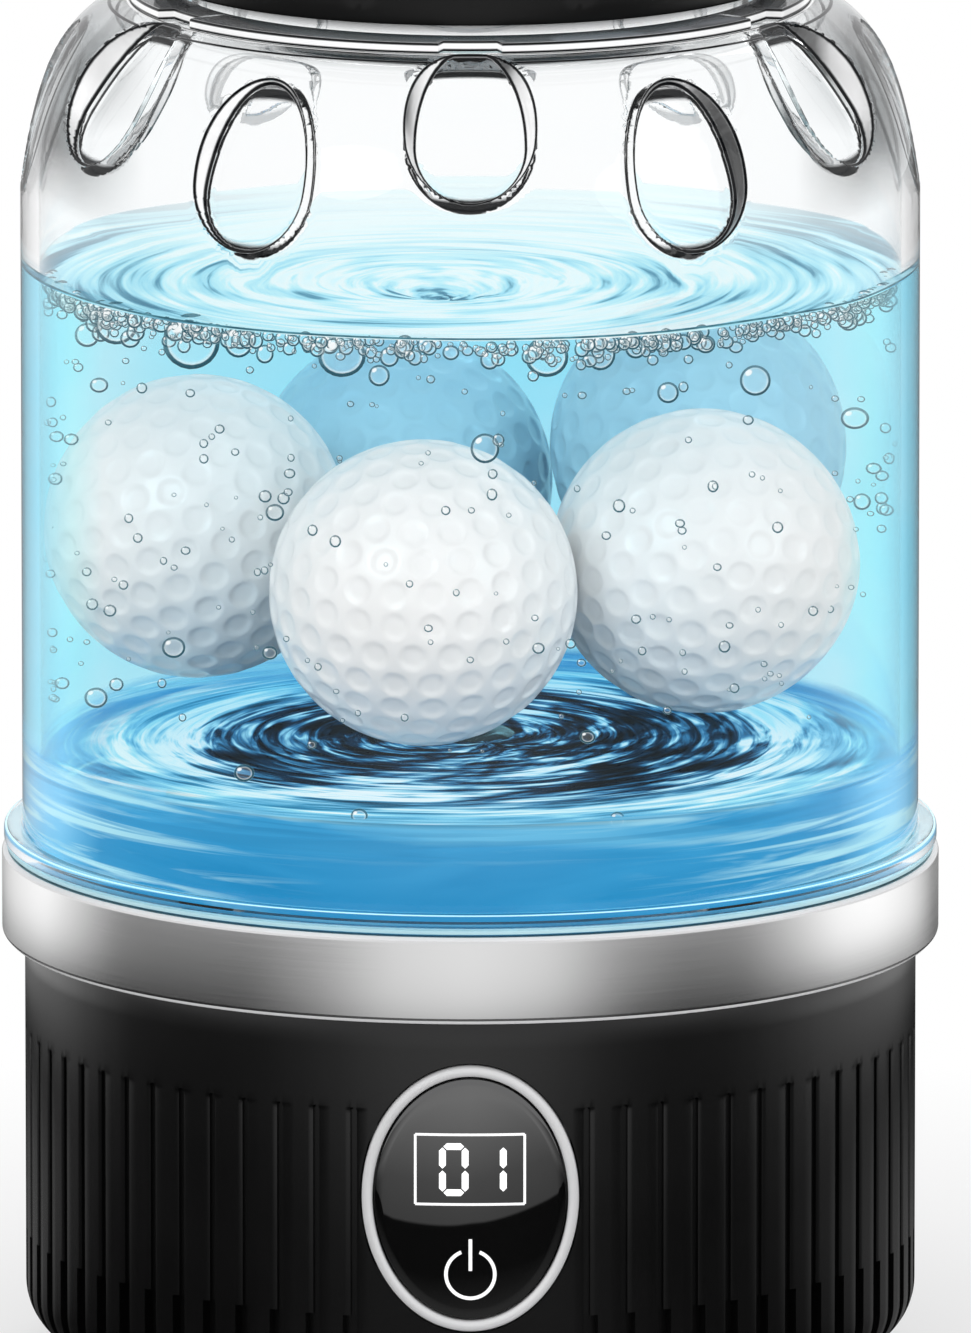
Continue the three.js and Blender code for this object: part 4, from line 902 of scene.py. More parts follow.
def jar_outline():
    """The jar's closed outline: outside, dome, collar, neck, and the inside of neck, dome and wall."""
    bore, joint = FLOOR_R + GAP, FLOOR_TOP + GAP
    outside = rounded([
        (bore, JAR_LOW), (FLANGE_R, JAR_LOW, 0.3), (FLANGE_R, FLANGE_TOP, 0.6),
        (JAR_R + 1.25, FLANGE_TOP), (JAR_R, FLANGE_TOP, 0.5)
    ])
    outside += [(JAR_R, z) for z in (FLANGE_TOP + 1.2, 90.0, 110.0, 130.0, 148.0, 158.0, 163.0)]
    dome = [
        (DOME_TOP_R + DOME_REACH * math.cos(a), DOME_LOW + DOME_HEIGHT * math.sin(a))
        for a in np.linspace(0, math.pi / 2, 82)
    ]
    collar = rounded([
        (DOME_TOP_R + 0.05, COLLAR_LOW, 0.04), (COLLAR_R, COLLAR_LOW, 0.25), (COLLAR_R, COLLAR_LOW + 0.5),
        (COLLAR_R, COLLAR_TOP - 0.65), (COLLAR_R, COLLAR_TOP, 0.35), (NECK_R, COLLAR_TOP, 0.5)
    ])
    neck = [(NECK_R, COLLAR_TOP + 1.5), (NECK_R, COLLAR_TOP + 2.4)]
    neck += rounded([
        (NECK_R, 205.0), (NECK_R, NECK_TOP, 0.5), (NECK_INNER, NECK_TOP, 0.5), (NECK_INNER, UNDER_LEDGE)
    ])[:-1]
    inner_neck = [
        (NECK_INNER, 205.0), (NECK_INNER, 194.0), (NECK_INNER + 0.3, 192.6), (NECK_INNER + 1.6, 191.4)
    ]
    inner_dome = [
        (DOME_TOP_R - WALL + DOME_REACH * math.cos(a), DOME_LOW + (DOME_HEIGHT - WALL) * math.sin(a))
        for a in np.linspace(math.pi / 2, 0, 58)
    ]
    inside = [(JAR_INNER, z) for z in (160.0, 150.0, 130.0, 110.0, 90.0, joint)] + [(bore, joint)]
    return outside, dome, collar, neck, inner_neck, inner_dome, inside


def press_rows(points, marks, rows, *sizes):
    """Presses the eggs into some rows of the jar's points, and marks their rims."""
    flat = [mark[rows].reshape(-1) for mark in marks]
    points[rows] = press_eggs(points[rows].reshape(-1, 3), *flat, *sizes).reshape(points[rows].shape)
    for mark, values in zip(marks, flat):
        mark[rows] = values.reshape(mark[rows].shape)


def nearest(radius, height, corners):
    """Distance of a point of an outline from the nearest of some corners."""
    return min(math.hypot(radius - r, height - z) for r, z in corners)


def jar():
    """Vessel with its flange, dome, recesses, notched collar and neck, and marks for its lines and bands,
    which are painted light and shade.
    """
    columns = 540
    outside, dome, collar, neck, inner_neck, inner_dome, inside = jar_outline()
    outline = outside + dome + collar + neck + inner_neck + inner_dome + inside
    radii, heights = np.array([p[0] for p in outline]), np.array([p[1] for p in outline])
    angles = np.arange(columns) / columns * TURN
    radius = np.repeat(radii[:, None], columns, axis=1)
    first, apart = len(outside) + len(dome), TURN / NOTCHES
    notch = np.abs((angles + apart / 2) % apart - apart / 2) * COLLAR_R < NOTCH_HALF
    for i in range(first, first + len(collar)):
        radius[i, notch] = np.minimum(radius[i, notch], COLLAR_NOTCH_R)
    height = np.repeat(heights[:, None], columns, axis=1)
    points = np.stack([radius * np.sin(angles), -radius * np.cos(angles), height], axis=2)

    outer, inner, edge, painted_highlight = (np.full(radius.shape, value) for value in (-FAR, FAR, FAR, FAR))
    # The wall's last two rows, the dome, and the collar up to its top corner
    rows = slice(len(outside) - 2, first + len(collar) - 7)
    press_rows(points, (outer, inner), rows, 0.0, EGG_DEPTH, 0.2, EGG_DRAFT, 0.0)
    # Distances to the corners for the painted dark edge lines, and where the collar's side and top are, for
    # its painted white band and painted dark top.
    collar_side, ledge = np.zeros(radius.shape), np.zeros(radius.shape)
    corners = (
        dome[DOME_EDGE], (COLLAR_R, COLLAR_LOW + 0.1), (COLLAR_R, COLLAR_TOP - 0.12),
        (NECK_R + 0.3, COLLAR_TOP)
    )
    for i in range(first - EDGE_ROWS, first + len(collar) + 1):
        away = nearest(radii[i], heights[i], corners)
        edge[i] = np.where((outer[i] > 0) & (i < first), FAR, away)
        collar_side[i] = float(radii[i] > COLLAR_R - 0.3 and heights[i] > COLLAR_LOW - 0.1)
        ledge[i] = float(heights[i] > COLLAR_TOP - 0.05 and radii[i] < COLLAR_R - 0.2)
    # The flange and the wall's first row, where the painted highlight lines lie
    corners = ((FLANGE_R - 0.25, FLANGE_TOP), (JAR_R + 0.15, FLANGE_TOP + 0.15))
    for i in range(len(outside) - 6):
        painted_highlight[i] = nearest(radii[i], heights[i], corners)
    start = first + len(collar) + len(neck) + len(inner_neck) - 1
    rows = slice(start, start + len(inner_dome) + 1)
    press_rows(points, (outer, inner), rows, 0.5, EGG_DEPTH + EGG_WALL, 0.5, 0.45, WALL)
    marks = {
        "outer_rim": outer, "inner_rim": inner, "edge": edge, "painted_highlight": painted_highlight, "collar": collar_side,
        "ledge": ledge
    }
    return mesh_piece(
        "jar_shell", points.reshape(-1, 3), grid_faces(len(outline), columns), CLEAR_JAR, "jar",
        cad=["jar"], slot="clear_plastic", sharp=50,
        attributes={key: values.reshape(-1) for key, values in marks.items()}
    )


HUB_R, HUB_LOW, HUB_BORE, BUSH_TOP, SEAL_LOW = 10.0, 68.0, 6.3, 72.9, 73.9
LUG_SIZE, LUG_REACH, LUG_MIDDLE = (8.0, 4.5, 6.9), 50.0, 71.0


def jar_floor():
    """Clear floor with the hub of the impeller's bush and seal, and four lugs."""
    outline = rounded([
        (HUB_BORE, HUB_LOW), (HUB_R, HUB_LOW, 0.4), (HUB_R, FLOOR_LOW, 0.8), (FLOOR_R, FLOOR_LOW, 0.3),
        (FLOOR_R, FLOOR_TOP, 0.3), (HUB_BORE + 0.5, FLOOR_TOP), (HUB_BORE + 0.5, SEAL_LOW),
        (HUB_BORE - 1.5, SEAL_LOW), (HUB_BORE - 1.5, BUSH_TOP), (HUB_BORE, BUSH_TOP),
    ])
    shape = Shape().turned(outline, 240)
    for i in range(4):
        shape.block(LUG_SIZE, (0, -LUG_REACH, LUG_MIDDLE), 0.6, TURN * (i + 0.5) / 4)
    return shape.piece("jar_floor_disc", CLEAR, "jar", cad=["jar_floor"], slot="clear_plastic", sharp=40)


def helix(radius, height, low, pitch, turns, outward):
    """A screw thread's ridge: a rounded section swept up round the axis, thin at both ends."""
    section = [(0.0, -1.0), (0.72, -0.45), (1.0, 0.0), (0.72, 0.45), (0.0, 1.0), (-0.25, 0.0)]
    half_width, steps_per_turn, ends = 0.9, 96, 14
    count = int(steps_per_turn * turns)
    places = []
    for i in range(count + 1):
        share = i / count
        fade = min(1.0, share * ends, (1 - share) * ends)
        angle, level = TURN * turns * share, low + pitch * turns * share
        places.append([
            (*at_angle(radius + outward * out * height * fade, angle), level + up * half_width)
            for out, up in section
        ])
    return Shape().swept(places)


# Impeller
DISC_R, DISC_LOW, DISC_RIM, DISC_CROWN, CAP_R, CAP_TOP = 43.0, 78.1, 79.7, 83.1, 8.5, 89.1
VANES, VANE_IN, VANE_OUT, VANE_SWEEP, VANE_RISE = 6, 6.6, 41.6, 46, 7.4


def impeller():
    """Disc that rises to a rounded cap, with swept vanes."""
    shape = Shape().turned(rounded([
        (0, DISC_LOW), (DISC_R, DISC_LOW, 0.4), (DISC_R, DISC_RIM, 0.6), (CAP_R, DISC_CROWN, 1.2),
        (CAP_R, 85.3, 0.8), (CAP_R - 1.1, 87.6, 1.0), (CAP_R - 3.8, CAP_TOP, 1.0), (0, CAP_TOP),
    ]), 160)
    section = [(-1.1, -1.0), (-1.1, 0.0), (-0.75, 0.6), (0.0, 0.85), (0.75, 0.6), (1.1, 0.0), (1.1, -1.0)]
    steps, sunk = 26, DISC_LOW + 0.8
    for k in range(VANES):
        places = []
        for i in range(steps + 1):
            share = i / steps
            radius = VANE_IN + (VANE_OUT - VANE_IN) * share
            angle = TURN * k / VANES + math.radians(VANE_SWEEP) * share
            tip = 1.4 * max(0.0, (share - 0.9) / 0.1) ** 2
            crest = DISC_RIM + VANE_RISE - 3.8 * radius / DISC_R - 0.85 - tip
            places.append([
                (*at_angle(radius, angle + across / radius), crest + up if up > -1 else sunk)
                for across, up in section
            ])
        shape.swept(places)
    return shape.piece(
        "impeller_vaned", BLACK, "impeller", cad=["impeller"], slot="black_plastic", sharp=35
    )


# Lid
FLUTES, FLUTE_LOW, FLUTE_FADE, FLUTE_DEPTH, FLUTE_HALF, CROWN_LOW = 18, 199.6, 0.8, 0.75, 1.75, 218.6
THREAD_HEIGHT, THREAD_PITCH = 0.6, 3.4


def lid():
    """Screw cap with flutes and a shallow dish in its top, and the threads of cap and neck."""
    per = 20
    columns = FLUTES * per
    outline = rounded([(LID_INNER, LID_LOW, 0.3), (LID_R, LID_LOW, 0.5)], 3)
    lower = len(outline)
    outline += [(LID_R, LID_LOW + 1.5)]
    outline += [(LID_R, FLUTE_LOW + step) for step in (0.0, 0.3, 0.5, 0.8, 1.6, 4.4, 10.4, 16.4)]
    outline += [(LID_R, CROWN_LOW)]
    outline += rounded([(LID_R, CROWN_LOW), (LID_R, LID_TOP, 1.8), (0.0, LID_TOP)], 8)[1:-1]
    outline += [(40.0, LID_TOP), (38.6, LID_TOP - 0.35), (37.6, LID_TOP - 0.5), (0.01, LID_TOP - 0.5)]
    outline += [(0.01, LID_CEILING), (LID_INNER - 0.5, LID_CEILING), (LID_INNER, LID_CEILING - 0.5)]
    outline += [(LID_INNER, 208.0)]
    points = []
    for i, (r, z) in enumerate(outline):
        outer_wall = r > LID_INNER + 0.5 and i >= lower
        fade = min(1.0, max(0.0, (z - FLUTE_LOW) / FLUTE_FADE)) if outer_wall else 0.0
        for j in range(columns):
            off = abs((j + per / 2) % per - per / 2) / columns * TURN * LID_R
            bite = FLUTE_DEPTH * max(0.0, 1 - (off / FLUTE_HALF) ** 2) ** 0.6 if off < FLUTE_HALF else 0.0
            points.append((*at_angle(r - bite * fade, TURN * j / columns), z))
    mesh_piece(
        "lid_cap_fluted", points, grid_faces(len(outline), columns), LID_BLACK, "lid_cap", cad=["lid_cap"],
        slot="black_plastic", sharp=40
    )
    cap_thread = helix(LID_INNER, THREAD_HEIGHT, 200.6, THREAD_PITCH, 2.6, -1)
    cap_thread.piece("lid_thread", LID_BLACK, "lid_cap", slot="black_plastic")
    neck_thread = helix(NECK_R, THREAD_HEIGHT, 201.2, THREAD_PITCH, 2.4, 1)
    neck_thread.piece("neck_thread", CLEAR, "jar", slot="clear_plastic")


# Contents, which the washer is shown with
DIMPLE_ROWS, DIMPLE_STEP, DIMPLE_R, DIMPLE_DEPTH = 15, 5.35, 2.0, 0.38


def ball_mesh():
    """Golf ball with its dimples in rows."""
    centres = []
    for i in range(DIMPLE_ROWS):
        latitude = math.pi * (i + 0.5) / DIMPLE_ROWS - math.pi / 2
        reach, level = math.cos(latitude), math.sin(latitude)
        count = max(1, round(TURN * BALL_R * reach / DIMPLE_STEP))
        for j in range(count):
            angle = TURN * (j + 0.5 * (i % 2)) / count
            centres.append((reach * math.cos(angle), reach * math.sin(angle), level))
    centres = np.array(centres)
    form = bmesh.new()
    bmesh.ops.create_icosphere(form, subdivisions=7, radius=1.0)
    points = np.array([v.co for v in form.verts])
    near = np.arccos(np.clip(points @ centres.T, -1, 1).max(axis=1)) * BALL_R
    dip = DIMPLE_DEPTH * np.clip(1 - (near / DIMPLE_R) ** 4, 0, 1)
    for vert, point, d in zip(form.verts, points, dip):
        vert.co = Vector(point * (BALL_R - d) * MM)
    mesh = bpy.data.meshes.new("golf_ball")
    form.to_mesh(mesh)
    form.free()
    mesh.shade_smooth()
    return mesh


def ball_material(name, shade, light):
    t = new_tree(name)
    at = t.object_coordinates()
    inputs = {
        "Base Color": t.between(t.noise(at, 60.0, 3.0), shade, light),
        "Roughness": 0.28,
        "Normal": t.bump(t.noise(at, 1500.0, 2.0), 0.2, 0.01 * MM),
        "Coat Weight": 0.3,
    }
    return t.finish(t.principled(inputs))


def balls():
    """Three white balls in front and two bluer ones behind, painted darker and bluer as painted shade and the
    water's tint.
    """
    mesh = ball_mesh()
    near = ball_material("ball_white", (0.84, 0.82, 0.81), (0.89, 0.87, 0.86))
    # The balls behind are white balls painted darker and bluer: painted shade and the water's tint.
    far = ball_material("ball_far_painted_shade", (0.42, 0.66, 0.78), (0.48, 0.72, 0.82))
    places = (
        (-6.5, -37.8, 115.8, near), (-38.3, -5.0, 118.9, near), (32.4, -19.9, 116.8, near),
        (-9.6, 33.0, 118.1, far), (32.6, 21.6, 125.5, far),
    )
    for i, (x, y, z, material) in enumerate(places):
        made = new_object("golf_ball_%d" % (i + 1), mesh)
        made.location = (x * MM, y * MM, z * MM)
        made.rotation_euler = (0.25 + 0.5 * i, 0.12 * i, 1.1 * i)
        if not mesh.materials:
            mesh.materials.append(near)
        made.material_slots[0].link = "OBJECT"
        made.material_slots[0].material = material
        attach(made, "jar")


EYE = (-2.8, -17.0)
SWIRL_MIDDLE, SWIRL_LEVEL, SWIRL_FALL, SWIRL_IN, SWIRL_OUT = (2.0, -7.0), 88.3, 0.6, 5.2, 62.4
WATER_R, WATER_FLOOR, DEPTH_R, RIM_R = 62.75, FLOOR_LOW + 0.15, 60.2, 0.15


def streaks(tree, centre, across, along, spiral=0.0, detail=4.0, distortion=0.4):
    """Noise drawn out round a centre: across is its changes per metre outwards, along its changes round."""
    at = tree.object_coordinates()
    moved = tree.add("VectorMath", {0: at, 1: (-centre[0] * MM, -centre[1] * MM, 0.0)}, operation="ADD")[0]
    split = tree.split(moved)
    turn = tree.math("ARCTAN2", split["X"], split["Y"] * -1.0)
    reach = tree.math("SQRT", split["X"] * split["X"] + split["Y"] * split["Y"])
    outward = reach * across + tree.math("SINE", turn + 0.9) * spiral
    around = tree.math("SINE", turn) * along
    beside = tree.math("COSINE", turn) * along
    vector = tree.add("CombineXYZ", {0: around, 1: beside, 2: outward})[0]
    return tree.noise(vector, 1.0, detail, 0.55, distortion), reach


def veil(tree, colour, cover, strength=1.0):
    """A bright sheet that covers what is behind it by a share, for rays that show it."""
    light = tree.emission(colour, strength)
    through = tree.transparent(WHITE)
    return tree.mix_shaders(cover * seen_rays(tree), through, light)


def water_side_material():
    """Clear blue water: rays take its colour where they leave it, and low down it is less clear, covered by a
    glowing sheet of painted light: deep blue, darker towards the bottom, paler where seen edge on, with
    painted dark and bright streaks.
    """
    t = new_tree("water_side")
    at = t.object_coordinates()
    split = t.split(at)
    height = split["Z"]
    clouds = t.noise(stretched(t, at, (14.0, 14.0, 40.0)), 1.0, 3.0)
    tint = t.ramp(clouds, [(0.35, (0.62, 0.97, 1.0)), (0.65, (0.84, 1.0, 1.0))])
    back = t.add("NewGeometry")["Backfacing"]
    leaving = back * seen_rays(t)
    facing = t.facing()
    entering = t.ramp(facing, [
        (0.23, 1.0), (0.275, (0.74, 0.99, 1.0)), (0.305, (0.57, 0.92, 1.0)), (0.335, (0.44, 0.83, 1.0))
    ])
    entering = t.mix(seen_rays(t), WHITE, entering)
    colour = t.mix(leaving, entering, tint)
    through = t.transparent(colour)
    waves = t.noise(stretched(t, at, (22.0, 22.0, 150.0)), 1.0, 4.0, 0.5, 1.2)
    # Low down the water is a glowing sheet in painted deep blue, darker towards the bottom, with painted dark
    # and bright streaks.
    depth = t.rise(height + waves * 0.0015, 0.0895, 0.0879)
    level = t.scale_range(height, 0.0, 0.75, 0.074, 0.0925) + (waves - 0.5) * 0.9
    deep = t.ramp(level, [
        (0.0, (0.022, 0.27, 0.56)), (0.45, (0.05, 0.36, 0.68)), (0.8, (0.20, 0.62, 0.88)),
        (1.0, (0.55, 0.88, 0.97))
    ])
    sides = t.ramp(facing, [(0.23, 0.0), (0.29, 1.0)])
    deep = t.mix(sides, deep, (0.17, 0.60, 0.94))
    lines = t.noise(stretched(t, at, (13.0, 13.0, 360.0)), 1.0, 4.0, 0.55, 1.4)
    beside = t.rise(abs(split["X"]), 0.020, 0.050)
    upper = t.scale_range(height, 0.0, 0.8, 0.0815, 0.0880)
    where = t.most(beside, upper)
    deep = t.mix(t.scale_range(lines, 0.7, 0.0, 0.36, 0.45) * upper, deep, (0.02, 0.20, 0.42))
    deep = t.mix(t.scale_range(lines, 0.0, 0.8, 0.50, 0.62) * where, deep, (0.52, 0.92, 1.0))
    glow = t.emission(deep)
    cover = depth * 0.96 * seen_rays(t)
    return t.finish(t.mix_shaders(cover, through, glow))


def water_depth_material():
    """What makes things further back in the water bluer."""
    t = new_tree("water_depth")
    clear = t.mix(seen_rays(t), WHITE, (0.12, 0.73, 0.93))
    inside = t.add("VolumeAbsorption", {"Color": clear, "Density": 8.0})[0]
    return t.finish(inside, socket="Volume")


def water_top_material():
    """The stirred surface, a glowing sheet: dark and bright streaks drawn out round the swirl's eye, painted
    reflections, darker at the sides and in the eye, and paler behind.
    """
    t = new_tree("water_top")
    fine, reach = streaks(t, EYE, 430.0, 0.9, 1.6, 3.0, 0.25)
    broad = streaks(t, EYE, 135.0, 0.8, 1.3, 2.0, 0.25)[0]
    both = fine * 0.55 + broad * 0.45
    split = t.split(t.object_coordinates())
    beside = t.scale_range(abs(split["X"]), 0.0, 0.10, 0.026, 0.052)
    eye = t.scale_range(reach, 0.13, 0.0, 0.002, 0.009)
    # The painted reflections go darker at the sides and in the swirl's eye.
    both = both + 0.035 - t.most(beside, eye)
    behind = t.scale_range(split["Y"], 0.0, 0.85, 0.0, 0.05)
    # Painted reflections in dark and bright streaks, which glow.
    colour = t.ramp(both, [
        (0.28, (0.02, 0.09, 0.15)), (0.39, (0.09, 0.30, 0.44)), (0.44, (0.34, 0.74, 0.90)),
        (0.50, (0.54, 0.90, 0.98)), (0.56, (0.90, 1.0, 1.0)), (0.75, (0.62, 0.93, 1.0)),
    ])
    colour = t.mix(behind, colour, (0.92, 0.99, 1.0))
    cover = t.ramp(both, [(0.36, 0.95), (0.47, 0.85), (0.56, 0.78), (0.7, 0.85)])
    return t.finish(veil(t, colour, cover))


def water_bottom_material():
    """A glowing sheet of painted light: deep blue with faint streaks, paler towards the sides, which also
    lights what is above it.
    """
    t = new_tree("water_bottom")
    waves = streaks(t, (0.0, 0.0), 180.0, 1.2, 1.0, 3.0, 0.8)[0]
    split = t.split(t.object_coordinates())
    side = t.scale_range(abs(split["X"]), 0.0, 0.45, 0.02, 0.062)
    level = side + t.scale_range(waves, 0.0, 0.55, 0.35, 0.7)
    colour = t.ramp(level, [
        (0.0, (0.02, 0.25, 0.53)), (0.35, (0.045, 0.34, 0.66)), (0.7, (0.16, 0.58, 0.90)),
        (1.0, (0.45, 0.85, 1.0))
    ])
    # It glows, painted light.
    return t.finish(t.emission(colour))


def swirl_material():
    """A glowing sheet: dark water over the spinning impeller, with bright streaks, and clear round it but for
    pale arcs; the bright streaks and pale arcs are painted highlights.
    """
    t = new_tree("swirl")
    fine, reach = streaks(t, SWIRL_MIDDLE, 520.0, 1.8, 4.0, 4.0, 0.7)
    broad = streaks(t, SWIRL_MIDDLE, 110.0, 1.5, 2.5, 2.0, 0.8)[0]
    both = fine * 0.55 + broad * 0.45
    out = t.rise(reach, 0.032, 0.050)
    level = both + (out - 0.3) * 0.12
    # Bright streaks in the colour are painted highlights.
    colour = t.ramp(level, [
        (0.39, (0.002, 0.004, 0.008)), (0.46, (0.008, 0.035, 0.08)), (0.51, (0.05, 0.24, 0.46)),
        (0.555, (0.40, 0.78, 0.94)), (0.60, (0.92, 0.98, 1.0)), (0.70, (0.50, 0.88, 1.0)),
    ])
    outer = t.ramp(both, [
        (0.34, (0.02, 0.14, 0.28)), (0.42, (0.05, 0.32, 0.55)), (0.48, (0.16, 0.55, 0.82)),
        (0.54, (0.34, 0.80, 0.95)), (0.60, (0.85, 0.99, 1.0)), (0.70, (0.40, 0.84, 0.96)),
    ])
    colour = t.mix(t.rise(reach, 0.040, 0.050), colour, outer)
    arcs = t.scale_range(fine, 0.0, 0.75, 0.52, 0.66)
    ahead = t.scale_range(t.split(t.object_coordinates())["Y"], 1.0, 0.0, -0.044, -0.030)
    cover = t.most(t.most(t.scale_range(reach, 1.0, 0.0, 0.052, 0.059), ahead), arcs)
    return t.finish(veil(t, colour, cover))


def water_height(x, y):
    """Level of the stirred surface: ripples round the swirl's eye, a dip in it, and a lip at the wall."""
    ex, ey = x - EYE[0], y - EYE[1]
    r = np.hypot(ex, ey)
    turn = np.arctan2(ey, ex)
    ripple = 0.3 * np.sin(r / 1.9 + turn + 0.8 * np.sin(2 * turn)) * np.exp(-r / 60)
    dip = -2.2 * np.exp(-((r / 9) ** 2))
    lip = 0.8 * np.exp(-(WATER_R - np.minimum(np.hypot(x, y), WATER_R)) / 1.1)
    return WATER_LEVEL + ripple + dip + lip


def rings_about(radii, columns, height):
    """Points of rings about Z, with their heights from a function of x and y."""
    angles = np.arange(columns) / columns * TURN
    x, y = radii[:, None] * np.sin(angles), -radii[:, None] * np.cos(angles)
    return np.stack([x, y, height(x, y) + 0 * x], axis=2).reshape(-1, 3)


def water():
    """The water's body, the dark swirl low in it, what colours its depth, and the line round its surface; the
    body, the swirl and the line glow with painted light and shade.
    """
    columns = 320
    top = np.concatenate([np.linspace(0.6, 57, 110), np.linspace(57.4, WATER_R, 16)])
    low = np.linspace(WATER_R, 0.6, 12)
    walls = [
        rings_about(np.array([WATER_R]), columns, lambda x, y, z=z: z)
        for z in (140.0, 120.0, 100.0, 92.0, 88.0, 82.0)
    ]
    points = np.concatenate([
        rings_about(top, columns, water_height), *walls,
        rings_about(low, columns, lambda x, y: WATER_FLOOR),
        [[0, 0, float(water_height(0.0, 0.0))], [0, 0, WATER_FLOOR]],
    ])
    rows = len(top) + len(walls) + len(low)
    faces = grid_faces(rows, columns, close_rows=False)
    last, middle = (rows - 1) * columns, rows * columns
    for j in range(columns):
        k = (j + 1) % columns
        faces += [(j, k, middle), (last + j, last + k, middle + 1)]
    made = mesh_piece("water", points, faces, water_side_material(), "jar", sharp=60)
    made.data.materials.append(water_top_material())
    made.data.materials.append(water_bottom_material())
    for face in made.data.polygons:
        level = face.center.z / MM
        if level > WATER_LEVEL - 5.5 and face.normal.z > 0.3:
            face.material_index = 1
        elif level < WATER_FLOOR + 0.01:
            face.material_index = 2

    rings, sides = 60, 240
    sheet = rings_about(
        np.linspace(SWIRL_IN, SWIRL_OUT, rings), sides,
        lambda x, y: SWIRL_LEVEL - SWIRL_FALL * np.hypot(x, y) / 62
    )
    sheet_faces = grid_faces(rings, sides, close_rows=False)
    mesh_piece("swirl", sheet, sheet_faces, swirl_material(), "jar", sharp=60)

    low, high = WATER_FLOOR + 0.6, WATER_LEVEL - 0.5
    outline = rounded([(0.0, low), (DEPTH_R, low, 0.3), (DEPTH_R, high, 0.3), (0.0, high)])
    Shape().turned(outline, 160).piece("water_depth", water_depth_material(), "jar", sharp=60)

    corners = [TURN * i / 6 for i in range(6)]
    rim = np.concatenate([
        rings_about(
            np.array([WATER_R + RIM_R * math.cos(a)]), columns,
            lambda x, y, up=RIM_R * math.sin(a): water_height(x, y) + up
        )
        for a in corners
    ])
    rim_faces = grid_faces(len(corners), columns)
    mesh_piece("water_rim", rim, rim_faces, water_line_material(), "jar", sharp=60)


def water_line_material():
    """A glowing line where the surface meets the wall: painted shade, dark in front, and pale behind."""
    t = new_tree("water_line")
    at = t.object_coordinates()
    behind = t.rise(t.split(at)["Y"], -0.012, 0.02)
    dark = t.between(t.noise(at, 300.0, 2.0), (0.03, 0.11, 0.15), (0.10, 0.30, 0.38))
    colour = t.mix(behind, dark, (0.90, 0.98, 1.0))
    return t.finish(veil(t, colour, t.scale_range(behind, 1.0, 0.25)))


def bubble_material():
    """Thin-walled bubble, a glowing sheet: clear, with a painted dark rim, strongest on its lower side, a
    painted pale ring inside it and a painted highlight, a bright spot up at one side.
    """
    t = new_tree("bubble")
    facing = t.facing()
    facing = facing + t.mark("small") * 0.2
    normal = t.add("NewGeometry")["Normal"]
    # Direction of the painted highlight.
    towards = Vector((-0.45, -0.62, 0.64)).normalized()
    painted_glint = t.add("VectorMath", {0: normal, 1: tuple(towards)}, operation="DOT_PRODUCT")["Value"]
    painted_glint = t.scale_range(painted_glint, 0.0, 0.9, 0.955, 0.98)
    # The painted dark rim is strongest on the bubble's lower side.
    low = t.add("VectorMath", {0: normal, 1: (0.3, -0.3, -0.9)}, operation="DOT_PRODUCT")["Value"]
    low = t.scale_range(low, 0.75, 1.0, -0.2, 0.6)
    rim = t.ramp(facing, [(0.28, 0.0), (0.42, 0.5), (0.50, 1.0), (0.94, 1.0), (1.0, 0.5)])
    colour = t.ramp(facing, [
        (0.30, (0.93, 1.0, 1.0)), (0.42, (0.93, 1.0, 1.0)), (0.50, (0.015, 0.09, 0.13)),
        (0.90, (0.01, 0.06, 0.09)), (1.0, (0.55, 0.88, 0.96))
    ])
    colour = t.mix(painted_glint, colour, WHITE)
    front = 1.0 - t.add("NewGeometry")["Backfacing"]
    cover = t.most(rim * low, painted_glint)
    cover = t.most(cover, 0.06) * front
    return t.finish(veil(t, colour, cover))


FROTH, LOOSE, FROTH_TOP, LOOSE_LOW, LOOSE_HIGH, BUBBLE_REACH = 520, 190, 155.6, 96, 151, 60.3


